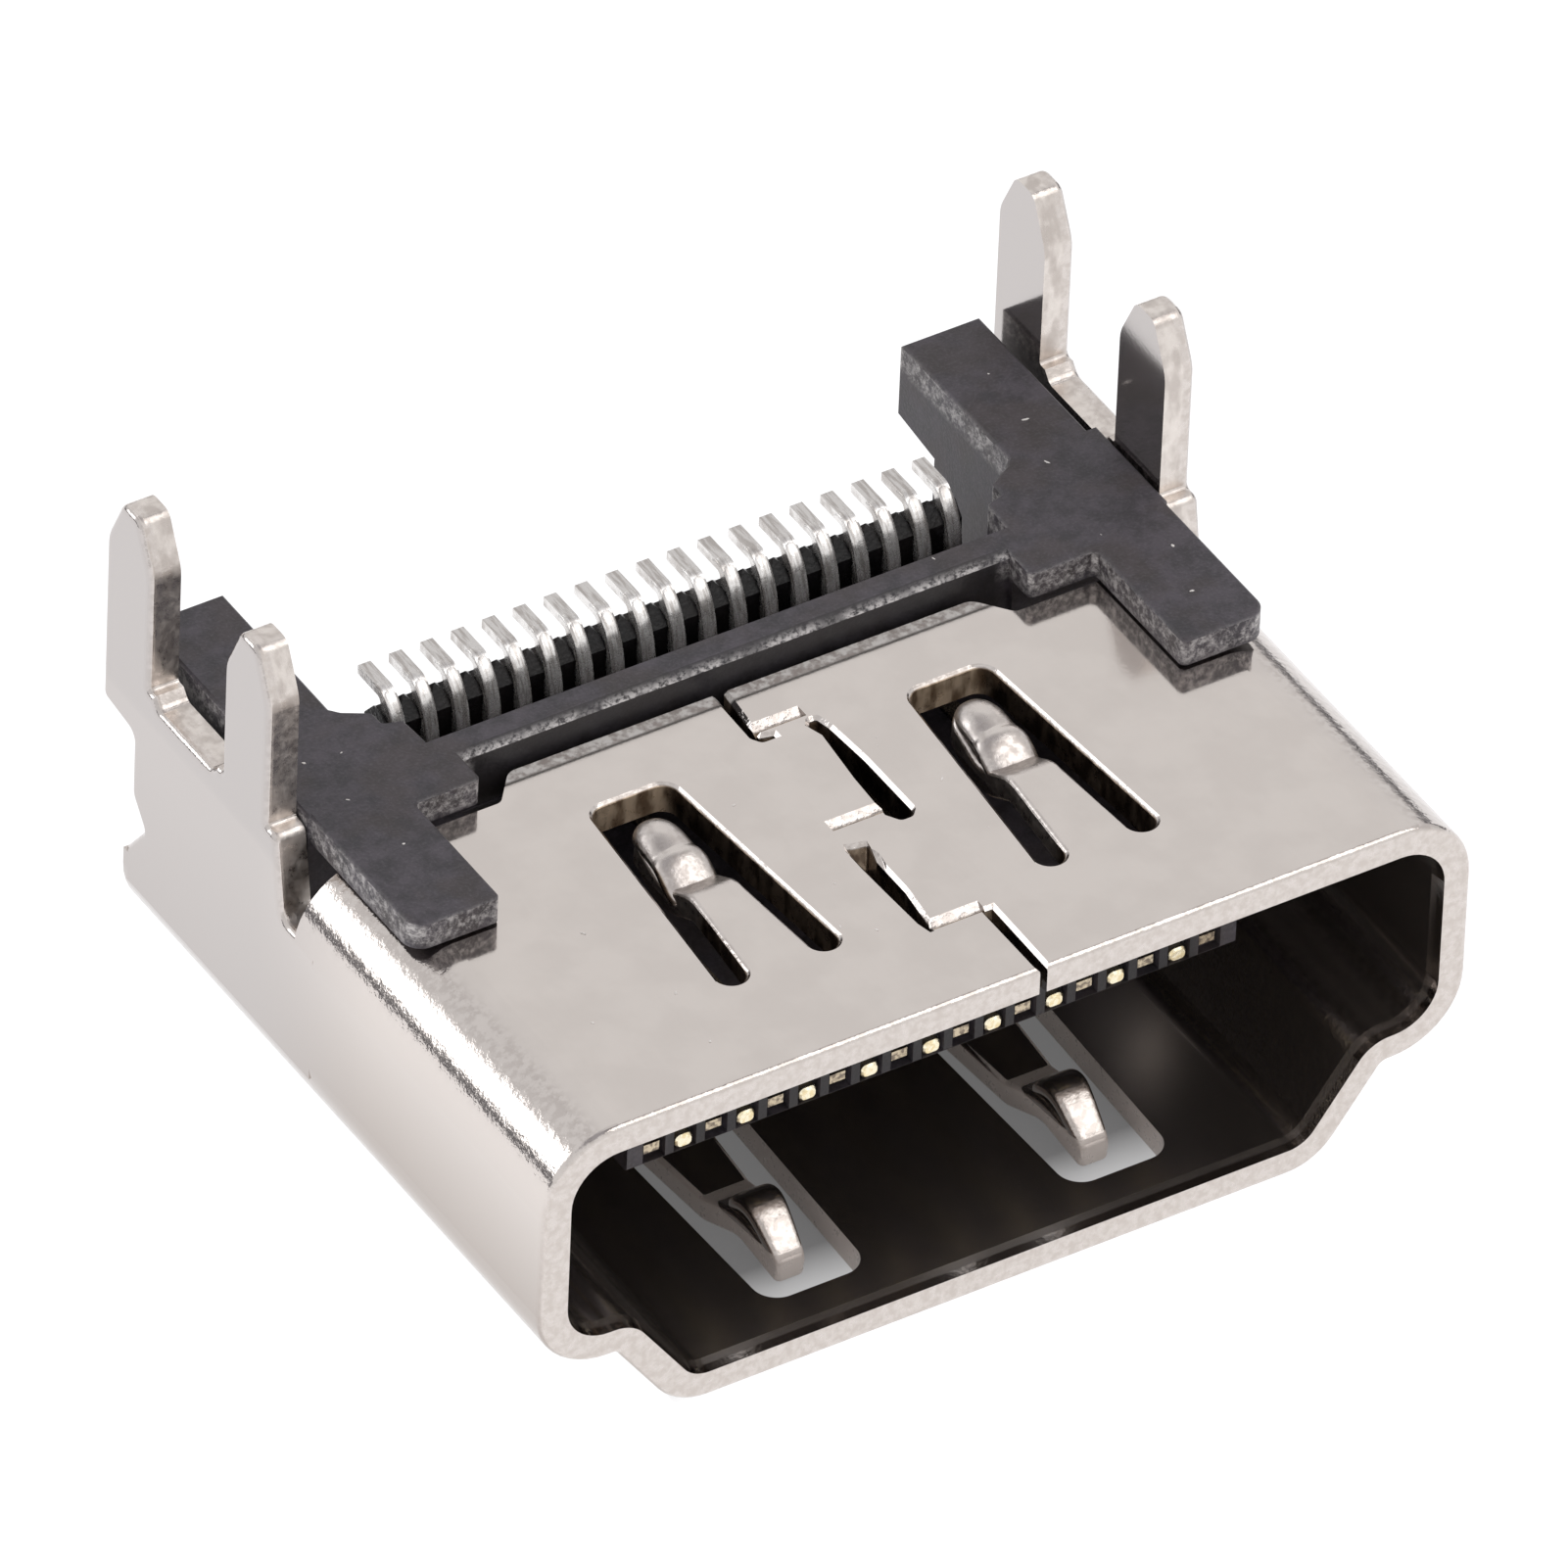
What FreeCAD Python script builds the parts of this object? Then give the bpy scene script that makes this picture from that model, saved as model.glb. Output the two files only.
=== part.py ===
import FreeCAD, Part
import math
import os

# Board-mounted nineteen-way video socket: one folded shell of nickel-plated sheet, a black
# moulded housing with the contact tongue, nineteen stamped contacts and a comb that spaces
# their solder tails.
# Sizes in millimetres. X runs across the mouth, the mouth opens towards -Y, and Z points to
# the circuit board, which lies on the flat top of the housing. The origin is the middle of the
# mouth's front edge, on the outer face of the narrow wall.

# Shell sheet and the mouth that takes the plug
SHEET = 0.50                # sheet thickness
MOUTH_WIDTH = 14.00         # between the side walls, inside
MOUTH_HEIGHT = 4.55         # from the narrow wall to the wide wall, inside
STEP_HEIGHT = 1.42          # from the narrow wall up to the steps, inside
STEP_REACH = 1.05           # how far a step stands in from its side wall
FLANK_RUN = 1.02            # sideways run of the slope from a step down to the narrow wall
CORNER_BEND = 0.70          # inner radius of the wide wall's corners
SIDE_BEND = 0.65            # inner radius where a side wall turns in to its step
STEP_BEND = 0.15            # outer radius of the reverse bend at the step
FLOOR_BEND = 0.45           # inner radius at the narrow wall
LEAD_IN = 0.05              # coined lead-in inside the mouth, across the wall
LEAD_IN_DEPTH = 0.25        # and along it
DIE_ROLL = 0.11             # rounded outer edge that the blanking die leaves
SLOT_ROLL = 0.055           # narrower rolled edge round the windows and the seam
RUN_SHARE = 0.98            # part of a straight run that its two roundings may take

# Lengths along Y
CORNER_LENGTH = 6.60        # folded corners of the wide wall
WALL_LENGTH = 6.65          # wide wall beside its rear tab
TAB_LENGTH = 7.16           # wide wall's rear tab
TAB_WIDTH = 7.50            # rear tab at its end
TAB_FLARE = 0.42            # widening of the tab at its root, each side
TROUGH_LENGTH = 11.10       # narrow wall and steps
RIM_RISE = 0.93             # top of the trough's side behind the notch, above the steps
TAB_ROUND = 0.25
FLARE_ROUND = 0.15

# Side plates and their four legs, seen from the side. A rise is measured up from the seat, the
# plane of the circuit board, and a drop down from it.
SLOT_DEPTH = 0.99           # slot between a folded corner and the side plate, from the wide wall
SLOT_WIDTH = 0.36
SLOT_ROUND = 0.22
PLATE_DROP = 0.20           # plate edge between the legs
PLATE_REAR = 10.95
PLATE_ROUND = 0.15          # rounded corners of the plate
NOTCH_DEPTH = 0.35          # notch in the plate's rear edge
NOTCH_RISE = 0.65           # from the trough's rim up to the slope above the notch
NOTCH_SLOPE = 0.45          # height of that slope
NOTCH_ROUND = 0.12
LEG_CENTRES = (8.03, 11.18)
LEG_WIDTH = 1.18
LEG_TIP_WIDTH = 0.46
LEG_TIP_ROUND = 0.20
LEG_RISE = 2.75
TAPER_RISE = 1.98           # where a leg begins to taper
TAPER_ROUND = 0.60
FOOT_DROP = 0.93            # rear leg's overhang behind the plate
FOOT_SLOPE = 0.12
SHOULDER_DROP = 0.03        # small shoulders at the foot of each leg
SHOULDER_REACH = 0.14
SHOULDER_ROUND = 0.05
FRONT_SHOULDER_DROP = 0.15
FRONT_SHOULDER_REACH = 0.25

# Spring fingers: two in the wide wall, two in the narrow wall
FINGER_ROOT_WIDTH = 1.05
FINGER_LENGTH = 1.84        # root to neck
NOSE_LENGTH = 1.74          # neck to tip
NOSE_LOWEST = 0.45          # where it is deepest, as a share of the nose's length
NOSE_CURL = 0.12            # share of the dip that is left at the tip
NECK_BEND = 0.30            # bend radii at the middle of the sheet
NOSE_BEND = 0.72
NECK_RUN = 0.15             # rounding in plan where the taper ends at the neck
FINGER_THICKNESS = 0.40     # the stamp thins the fingers from inside
FINGER_ROUND = 0.08         # rounded long edges
FINGER_SLOT = 0.43          # slot beside the root
WIDE_FINGER_X = 2.57        # centre of each finger from the middle
WIDE_FINGER_ROOT = 1.80     # from the mouth; the nose points away from it
WIDE_FINGER_NECK = 0.80     # width
WIDE_NOSE_TIP = 0.72        # width
WIDE_NOSE_ROUND = 0.33
WIDE_NOSE_DIP = 0.43        # how far the nose reaches into the mouth
WIDE_WINDOW_END = 5.93      # far end of the opening, from the mouth
WIDE_WINDOW_WIDTH = 1.30    # width of the opening there
WIDE_WINDOW_ROUND = 0.25
NARROW_FINGER_X = 2.47
NARROW_FINGER_ROOT = 5.04   # the nose points to the mouth
NARROW_FINGER_NECK = 0.82
NARROW_NOSE_TIP = 0.46
NARROW_NOSE_ROUND = 0.10
NARROW_NOSE_DIP = 0.28
NARROW_WINDOW_END = 0.76
NARROW_WINDOW_WIDTH = 1.66
NARROW_WINDOW_ROUND = 0.38

# Dovetail seam in the wide wall: it runs from the rear tab to the mouth in four open slots that
# step from side to side, joined by closed crossings
SEAM_GAP = 0.03             # closed crossing
SEAM_BEVEL = 0.22           # rolled sheet edge behind a crossing
SEAM_BEVEL_DEPTH = 0.12
OVERRUN = 0.50              # how far an open slot's tool passes the sheet's edge
# corners of each slot (x, y, rounding), with the slot on their left
SEAM_SLOTS = (
    ((-0.39, TAB_LENGTH + OVERRUN), (-0.42, 6.14, 0.06), (-0.34, 6.02, 0.05), (-0.12, 6.02),
     (-0.12, 6.07), (-0.33, 6.12), (-0.33, 6.39), (-0.21, TAB_LENGTH + OVERRUN)),
    ((0.40, 5.99), (0.49, 5.71), (0.39, 4.70), (0.35, 3.84), (0.46, 3.67, 0.05), (0.60, 3.67, 0.06),
     (0.70, 3.78, 0.05), (0.69, 5.00), (0.63, 5.82), (0.57, 6.08, 0.05), (0.46, 6.08, 0.03)),
    ((-0.53, 3.52), (-0.54, 3.18), (-0.51, 2.35), (-0.47, 1.46), (-0.41, 1.46), (-0.38, 1.66),
     (-0.30, 2.34), (-0.30, 3.08), (-0.22, 3.44, 0.03), (-0.42, 3.48, 0.03)),
    ((0.42, 1.46), (0.43, -OVERRUN), (0.54, -OVERRUN), (0.56, 1.46)),
)
# each crossing: its line, then its left and right end
SEAM_CROSSINGS = ((6.19, -0.33, 0.47), (3.90, -0.51, 0.37), (1.44, -0.40, 0.44))

# Moulded housing
FIT = 0.02                  # clearance between the housing and what it touches
BACK_WALL = 7.25            # front face of the body inside the shell
BODY_REAR = 8.60            # rear face of the body
LEDGE_TOP = 2.25            # shelf behind the body that carries the comb
LEDGE_REAR = 10.90
BAR_FRONT = 7.28            # bar behind the wide wall
BAR_REAR = 7.79
BAR_BEVEL = 0.12
WING_FRONT = 4.46           # wings that lie on the wide wall
WING_INSET = 0.08           # wings inside the side walls' inner faces
WING_WIDTH = 1.40
WING_GAP = 0.04             # between the wings and the wide wall
WING_THICKNESS = 0.46       # their tops are the seat, on the circuit board
WING_CORNER = 0.30
WING_REAR = 7.34
MOULD_ROUND = 0.10
NUB_INNER = 4.45            # inner stubs of the end blocks
NUB_FRONT = 6.74
BLOCK_REAR = 9.04           # cross-shaped end blocks
BLOCK_INSET = 0.04
# inner edge of a block from its rear forward (x, y, rounding)
BLOCK_STEPS = (
    (5.40, 8.90, 0.07), (5.03, 8.68, 0.07), (5.03, 8.42, 0.07), (4.74, 8.34, 0.07), (4.70, BAR_REAR),
)
ARM_REAR = 11.87            # arms behind the end blocks
ARM_INSET = 0.20
ARM_WIDTH = 1.28
ARM_THICKNESS = 1.24        # at its end
CHEEK_TOP = 1.37            # below the seat, where the wall under the arm ends
RIB_REAR = 11.50            # rib behind that wall, along its outer side
RIB_WIDTH = 0.60
RIB_DROP = 2.45             # its lower end, below the seat
RIB_ROUND = 0.30
EDGE = 0.04                 # bevel round the seat's outline

# Tongue
TONGUE_MARGIN = 0.435       # beside the middle of the outermost contacts
TONGUE_FRONT = 1.93
TONGUE_GAP = 1.34           # between the tongue and the wide wall
TONGUE_THICKNESS = 1.00
TONGUE_NOSE = 0.20          # rounding of its upper front edge
TONGUE_EDGE = 0.06          # rounding of its lower front edge
TIP_POCKET_WIDTH = 0.36
TIP_POCKET_DEPTH = 0.14
TIP_POCKET_LOW = 0.04       # above the tongue's lower face
TIP_POCKET_HIGH = 0.41

# Contacts: odd ones lie on the tongue's upper face and even ones on its lower face
CONTACT_COUNT = 19
PITCH = 0.50
CONTACT_WIDTH = 0.25
TAIL_WIDTH = 0.20
CONTACT_THICKNESS = 0.15
CONTACT_PROUD = 0.05        # above the tongue's face
UPPER_TIP = 0.21            # middle of the odd tips above the tongue's lower face
LOWER_TIP = 0.16            # and of the even ones
TIP_FRONT = 2.00
PAD_FRONT = 1.94            # coined round pad on each even tip
PAD_LENGTH = 0.12
PAD_WIDTH = 0.28
PAD_HEIGHT = 0.22
PAD_ROUND = 0.09
PAD_BEVEL = 0.03
NOSE_RUN = 0.55             # tip to the flat blade
RISER = 8.79                # middle of the rising part
LEAN_DROP = 1.10            # below the seat, where it leans back to the tail
TAIL_BEND = 9.14
TAIL_DROP = 0.14            # below the seat
TAIL_REAR = 9.77
BEND = 0.16                 # bend radius at the middle of the strip
CONTACT_FIT = 0.01

# Comb between the tails
COMB_REAR = 9.44
COMB_DECK = 1.35            # low front of the comb, below the seat
TOOTH_FRONT = 8.87
TOOTH_LOW = 0.62            # a tooth's front edge, below the seat
TOOTH_PEAK = 9.13
TOOTH_HIGH = 0.33           # and its peak
TOOTH_REAR = 0.70           # and its rear edge
TOOTH_SLOPE = 0.18          # fall from a tooth's ridge to its sides
COMB_MARGIN = 0.18          # beside the middle of the outermost tails

# Worked out from the sizes above
FLOOR = SHEET
CEILING = FLOOR + MOUTH_HEIGHT
SHELL_TOP = CEILING + SHEET
STEP_TOP = FLOOR + STEP_HEIGHT
TROUGH_RIM = STEP_TOP + RIM_RISE
HALF_MOUTH = MOUTH_WIDTH / 2
HALF_SHELL = HALF_MOUTH + SHEET
WING_LOW = SHELL_TOP + WING_GAP
SEAT = WING_LOW + WING_THICKNESS
TONGUE_LOW = CEILING - TONGUE_GAP - TONGUE_THICKNESS
TAIL_TOP = SEAT - TAIL_DROP
RISER_LEAN = SEAT - LEAN_DROP
CONTACT_SPAN = (CONTACT_COUNT - 1) * PITCH
COMB_FRONT = BODY_REAR + FIT
COMB_HALF_WIDTH = CONTACT_SPAN / 2 + COMB_MARGIN
WING_OUTER = HALF_MOUTH - WING_INSET
BLOCK_OUTER = HALF_MOUTH - BLOCK_INSET
ARM_OUTER = HALF_MOUTH - ARM_INSET
MARGIN = 1.0                # overrun of cutting tools


# Helpers

def in_section(y):
    """Place (x, z) in the plane across the mouth at y."""
    return lambda a, b: FreeCAD.Vector(a, y, b)


def in_side(x):
    """Place (y, z) in the plane seen from the side at x."""
    return lambda a, b: FreeCAD.Vector(x, a, b)


def in_plan(z):
    """Place (x, y) in the plane seen from the board at z."""
    return lambda a, b: FreeCAD.Vector(a, b, z)


def unit(dx, dy):
    length = math.hypot(dx, dy)
    return dx / length, dy / length


def rounded(before, corner, after):
    """Start, middle and end of the arc that rounds one corner (a, b, radius)."""
    a, b, radius = corner
    ux, uy = unit(before[0] - a, before[1] - b)
    vx, vy = unit(after[0] - a, after[1] - b)
    half = math.acos(max(-1.0, min(1.0, ux * vx + uy * vy))) / 2
    cut = radius / math.tan(half)
    mx, my = unit(ux + vx, uy + vy)
    reach = radius / math.sin(half) - radius
    return (a + ux * cut, b + uy * cut), (a + mx * reach, b + my * reach), (a + vx * cut, b + vy * cut)


def with_radii(corners):
    return [tuple(c) + (0.0,) * (3 - len(c)) for c in corners]


def fitted(corners):
    """The same corners, a radius limited where two roundings share a short run."""
    count = len(corners)
    shares = [1.0] * count
    cuts = [0.0] * count
    for i, corner in enumerate(corners):
        if corner[2] > 0:
            start = rounded(corners[i - 1], corner, corners[(i + 1) % count])[0]
            cuts[i] = math.dist(start, corner[:2])
    for i in range(count):
        after = (i + 1) % count
        taken = cuts[i] + cuts[after]
        run = math.dist(corners[i][:2], corners[after][:2]) * RUN_SHARE
        if taken > run:
            shares[i] = min(shares[i], run / taken)
            shares[after] = min(shares[after], run / taken)
    return [(a, b, radius * share) for (a, b, radius), share in zip(corners, shares)]


def loop(corners, place):
    """Closed wire through corners (a, b) or (a, b, radius)."""
    corners = fitted(with_radii(corners))
    stops = []
    for i, corner in enumerate(corners):
        if corner[2] > 0:
            stops.append(rounded(corners[i - 1], corner, corners[(i + 1) % len(corners)]))
        else:
            stops.append(((corner[0], corner[1]),))
    edges = []
    for i, stop in enumerate(stops):
        last = place(*stops[i - 1][-1])
        first = place(*stop[0])
        if (first - last).Length > 1e-6:
            edges.append(Part.makeLine(last, first))
        if len(stop) == 3:
            edges.append(Part.Arc(first, place(*stop[1]), place(*stop[2])).toShape())
    return Part.Wire(edges)


def prism(corners, place, along):
    """Solid swept from a closed outline."""
    return Part.Face(loop(corners, place)).extrude(FreeCAD.Vector(*along))


def box(x0, x1, y0, y1, z0, z1):
    return Part.makeBox(x1 - x0, y1 - y0, z1 - z0, FreeCAD.Vector(x0, y0, z0))


def mirrored(shape):
    """The same shape on the other side of the middle plane."""
    return shape.mirror(FreeCAD.Vector(0, 0, 0), FreeCAD.Vector(1, 0, 0))


def both_sides(shape):
    return [shape, mirrored(shape)]


def grown(corners, distance):
    """The same outline moved outwards all round; its inside is on the left of the corners."""
    corners = with_radii(corners)
    moved = []
    for i, (a, b, radius) in enumerate(corners):
        before, after = corners[i - 1], corners[(i + 1) % len(corners)]
        ux, uy = unit(a - before[0], b - before[1])
        vx, vy = unit(after[0] - a, after[1] - b)
        nx, ny = unit(uy + vy, -ux - vx)
        stretch = distance / (nx * uy - ny * ux)
        if radius > 0:
            radius += math.copysign(distance, ux * vy - uy * vx)
        moved.append((a + nx * stretch, b + ny * stretch, radius))
    return moved


def rolled(corners, level, outward):
    """Tool that bevels the sheet round an opening. outward is the sign of the face's side."""
    lower = loop(corners, in_plan(level - outward * SLOT_ROLL))
    upper = loop(grown(corners, 2 * SLOT_ROLL), in_plan(level + outward * SLOT_ROLL))
    return Part.makeLoft([lower, upper], True, True)


def joined(first, others):
    return first.fuse(others).removeSplitter()


def band(path, thickness):
    """Outline of a bent strip around a middle line of points (a, b, bend radius)."""
    path = with_radii(path)
    runs = [unit(q[0] - p[0], q[1] - p[1]) for p, q in zip(path, path[1:])]
    half = thickness / 2
    sides = {1: [], -1: []}
    for i, (a, b, radius) in enumerate(path):
        ux, uy = runs[max(i - 1, 0)]
        vx, vy = runs[min(i, len(runs) - 1)]
        nx, ny = unit(-(uy + vy), ux + vx)
        stretch = half / (nx * -uy + ny * ux)
        turn = ux * vy - uy * vx
        for side in (1, -1):
            bend = 0.0
            if radius > 0:
                bend = radius - half if turn * side > 0 else radius + half
            sides[side].append((a + side * nx * stretch, b + side * ny * stretch, bend))
    return sides[1] + sides[-1][::-1]


# Shell

def mouth_outline(grow=0.0):
    """D-shaped outline of the mouth's inner face, or one parallel to it."""
    step_x = HALF_MOUTH - STEP_REACH
    right = [
        (HALF_MOUTH, CEILING, CORNER_BEND),
        (HALF_MOUTH, STEP_TOP, SIDE_BEND),
        (step_x, STEP_TOP, STEP_BEND + SHEET),
        (step_x - FLANK_RUN, FLOOR, FLOOR_BEND),
    ]
    left = [(-x, z, r) for x, z, r in reversed(right)]
    wire = loop(right + left, in_section(0.0))
    return wire.makeOffset2D(grow) if grow else wire


def edges_at_front(shape, wire):
    """Edges of a shape that lie on a wire in the mouth's front plane."""
    found = []
    for edge in shape.Edges:
        middle = edge.valueAt((edge.FirstParameter + edge.LastParameter) / 2)
        if abs(middle.y) < 1e-6 and wire.distToShape(Part.Vertex(middle))[0] < 1e-4:
            found.append(edge)
    return found


def front_tube(length):
    """Folded tube behind the mouth, with its rolled rim and coined lead-in."""
    inner = mouth_outline()
    outer = mouth_outline(SHEET)
    along = FreeCAD.Vector(0, length, 0)
    solid = Part.Face(outer).extrude(along)
    solid = solid.makeFillet(DIE_ROLL, edges_at_front(solid, outer))
    bore = Part.Face(inner).extrude(along)
    return coined(solid.cut(bore), inner)


def coined(tube, inner):
    """Widen the first part of the bore to a sloping lead-in."""
    wide = inner.makeOffset2D(LEAD_IN)
    deep = inner.copy()
    deep.translate(FreeCAD.Vector(0, LEAD_IN_DEPTH, 0))
    cone = Part.makeLoft([wide, deep], True, True)
    return tube.cut(cone)


def plain_tube(start, end):
    along = FreeCAD.Vector(0, end - start, 0)
    solid = Part.Face(mouth_outline(SHEET)).extrude(along)
    solid = solid.cut(Part.Face(mouth_outline()).extrude(along))
    solid.translate(FreeCAD.Vector(0, start, 0))
    return solid


def rear_tab():
    """Flat rear edge of the wide wall, with its tab in the middle."""
    root = TAB_WIDTH / 2 + TAB_FLARE
    reach = HALF_SHELL - SHEET - CORNER_BEND
    corners = [
        (-reach, CORNER_LENGTH - MARGIN), (-reach, WALL_LENGTH), (-root, WALL_LENGTH, FLARE_ROUND),
        (-TAB_WIDTH / 2, TAB_LENGTH, TAB_ROUND), (TAB_WIDTH / 2, TAB_LENGTH, TAB_ROUND),
        (root, WALL_LENGTH, FLARE_ROUND), (reach, WALL_LENGTH), (reach, CORNER_LENGTH - MARGIN),
    ]
    return prism(corners, in_plan(CEILING), (0, 0, SHEET))


def trough():
    """Narrow wall and steps, which run on to the rear of the shell."""
    tube = plain_tube(CORNER_LENGTH - MARGIN, TROUGH_LENGTH)
    above = box(-HALF_SHELL - MARGIN, HALF_SHELL + MARGIN, 0, TROUGH_LENGTH + MARGIN,
                TROUGH_RIM, SHELL_TOP + MARGIN)
    return tube.cut(above)


def leg_outline(centre):
    """A leg from the foot in front to the foot behind, as (y, z, radius)."""
    half = LEG_WIDTH / 2
    tip = LEG_TIP_WIDTH / 2
    foot = SEAT - SHOULDER_DROP
    taper = SEAT + TAPER_RISE
    top = SEAT + LEG_RISE
    return [
        (centre - half, foot, SHOULDER_ROUND), (centre - half, taper, TAPER_ROUND),
        (centre - tip, top, LEG_TIP_ROUND), (centre + tip, top, LEG_TIP_ROUND),
        (centre + half, taper, TAPER_ROUND), (centre + half, foot, SHOULDER_ROUND),
    ]


def plate_rear(leg_rear, low):
    """The plate's rear edge, from under the rear leg's overhang down into the trough."""
    foot = SEAT - FOOT_DROP
    notch = TROUGH_RIM + NOTCH_RISE
    return [
        (leg_rear, foot, PLATE_ROUND),
        (PLATE_REAR, foot - FOOT_SLOPE, PLATE_ROUND),
        (PLATE_REAR, notch + NOTCH_SLOPE, 2 * PLATE_ROUND),
        (PLATE_REAR - NOTCH_DEPTH, notch, NOTCH_ROUND),
        (TROUGH_LENGTH, TROUGH_RIM, NOTCH_ROUND),
        (TROUGH_LENGTH, low),
    ]


def side_plate():
    """Right-hand side plate with two legs, its outer edge rounded by the die."""
    half = LEG_WIDTH / 2
    front_leg, rear_leg = [leg_outline(centre) for centre in LEG_CENTRES]
    front, rear = LEG_CENTRES
    buried = CORNER_LENGTH - MARGIN / 2
    low = TROUGH_RIM - SHEET
    slot_floor = SHELL_TOP - SLOT_DEPTH
    shoulder = SEAT - SHOULDER_DROP
    front_shoulder = SEAT - FRONT_SHOULDER_DROP
    edge = SEAT - PLATE_DROP
    corners = [
        (buried, low), (buried, slot_floor), (CORNER_LENGTH, slot_floor),
        (CORNER_LENGTH + SLOT_WIDTH, slot_floor, SLOT_ROUND),
        (front - half - FRONT_SHOULDER_REACH, front_shoulder, PLATE_ROUND),
        (front - half, front_shoulder, SHOULDER_ROUND),
        *front_leg[1:],
        (front + half + SHOULDER_REACH, shoulder),
        (front + half + 2 * SHOULDER_REACH, edge, PLATE_ROUND),
        (rear - half - 2 * SHOULDER_REACH, edge, PLATE_ROUND),
        (rear - half - SHOULDER_REACH, shoulder),
        *rear_leg[:-1],
        *plate_rear(rear + half, low),
    ]
    plate = prism(corners, in_side(HALF_MOUTH), (SHEET, 0, 0))
    return plate.makeFillet(DIE_ROLL, die_rolled_edges(plate, low))


def die_rolled_edges(plate, low):
    """Edges of the plate's outer face, apart from those buried in the folded walls."""
    found = []
    for edge in plate.Edges:
        ends = [edge.valueAt(edge.FirstParameter), edge.valueAt(edge.LastParameter)]
        outer = all(abs(p.x - HALF_SHELL) < 1e-6 for p in ends)
        buried = any(p.z < low + 1e-6 or p.y < CORNER_LENGTH - 1e-3 for p in ends)
        if outer and not buried:
            found.append(edge)
    return found


def finger_window(x, root, way, end, end_width, end_round):
    """Opening around one spring finger and its rolled edge, in a sheet that lies on z = 0.
    way is +1 where the nose points back."""
    half_root = FINGER_ROOT_WIDTH / 2 + FINGER_SLOT
    start = root + way * FINGER_SLOT / 2
    corners = [
        (x - half_root, start), (x + half_root, start),
        (x + end_width / 2, end, end_round), (x - end_width / 2, end, end_round),
    ][::way]
    level = SHEET if way > 0 else 0.0
    tools = [prism(corners, in_plan(-MARGIN), (0, 0, SHEET + 2 * MARGIN)), rolled(corners, level, way)]
    for side in (-1, 1):
        middle = x + side * (FINGER_ROOT_WIDTH + FINGER_SLOT) / 2
        end_of_slot = FreeCAD.Vector(middle, start, -MARGIN)
        tools.append(Part.makeCylinder(FINGER_SLOT / 2, SHEET + 2 * MARGIN, end_of_slot))
        rim = FreeCAD.Vector(middle, start, level - way * SLOT_ROLL)
        tools.append(Part.makeCone(FINGER_SLOT / 2, FINGER_SLOT / 2 + 2 * SLOT_ROLL, 2 * SLOT_ROLL,
                                   rim, FreeCAD.Vector(0, 0, way)))
    return tools


def finger_path(root, way, dip, inward):
    """Middle line of a finger from inside the sheet to past its tip. Its outer face is flush."""
    neck = root + way * FINGER_LENGTH
    deepest = neck + way * NOSE_LENGTH * NOSE_LOWEST
    tip = neck + way * NOSE_LENGTH
    level = SHEET / 2 - inward * (SHEET - FINGER_THICKNESS) / 2
    low = level + inward * dip
    last = level + inward * dip * NOSE_CURL
    beyond = FINGER_THICKNESS / abs(tip - deepest)
    return [
        (root - way * FINGER_SLOT, level), (neck, level, NECK_BEND), (deepest, low, NOSE_BEND),
        (tip + (tip - deepest) * beyond, last + (last - low) * beyond),
    ]


def finger_plan(x, root, way, neck_width, tip_width, tip_round):
    """Outline of a finger, seen from the board."""
    neck = root + way * FINGER_LENGTH
    tip = neck + way * NOSE_LENGTH
    root_half = FINGER_ROOT_WIDTH / 2
    right = [
        (root_half, root - way * FINGER_SLOT), (root_half, root + way * FINGER_SLOT / 2),
        (neck_width / 2, neck - way * NECK_RUN, NECK_RUN), (tip_width / 2, tip, tip_round),
    ]
    left = [(x - dx, *rest) for dx, *rest in reversed(right)]
    return [(x + dx, *rest) for dx, *rest in right] + left


def long_edges(finger, plan, buried):
    """Edges along a finger's outline, apart from its buried end at y = buried."""
    wall = loop(plan, in_plan(0.0))
    found = []
    for edge in finger.Edges:
        first, last = edge.valueAt(edge.FirstParameter), edge.valueAt(edge.LastParameter)
        middle = edge.valueAt((edge.FirstParameter + edge.LastParameter) / 2)
        upright = math.hypot(first.x - last.x, first.y - last.y) < 1e-4
        on_wall = wall.distToShape(Part.Vertex(middle.x, middle.y, 0.0))[0] < 1e-4
        if on_wall and not upright and abs(middle.y - buried) > 1e-3:
            found.append(edge)
    return found


def spring_finger(x, root, way, widths, dip, inward):
    """One finger in a sheet that lies on z = 0. inward is the sign of its dip."""
    plan = finger_plan(x, root, way, *widths)
    path = finger_path(root, way, dip, inward)
    strip = prism(band(path, FINGER_THICKNESS), in_side(0.0), (x * 2, 0, 0))
    finger = strip.common(prism(plan, in_plan(-2 * MARGIN), (0, 0, 4 * MARGIN)))
    return finger.makeFillet(FINGER_ROUND, long_edges(finger, plan, root - way * FINGER_SLOT))


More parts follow.
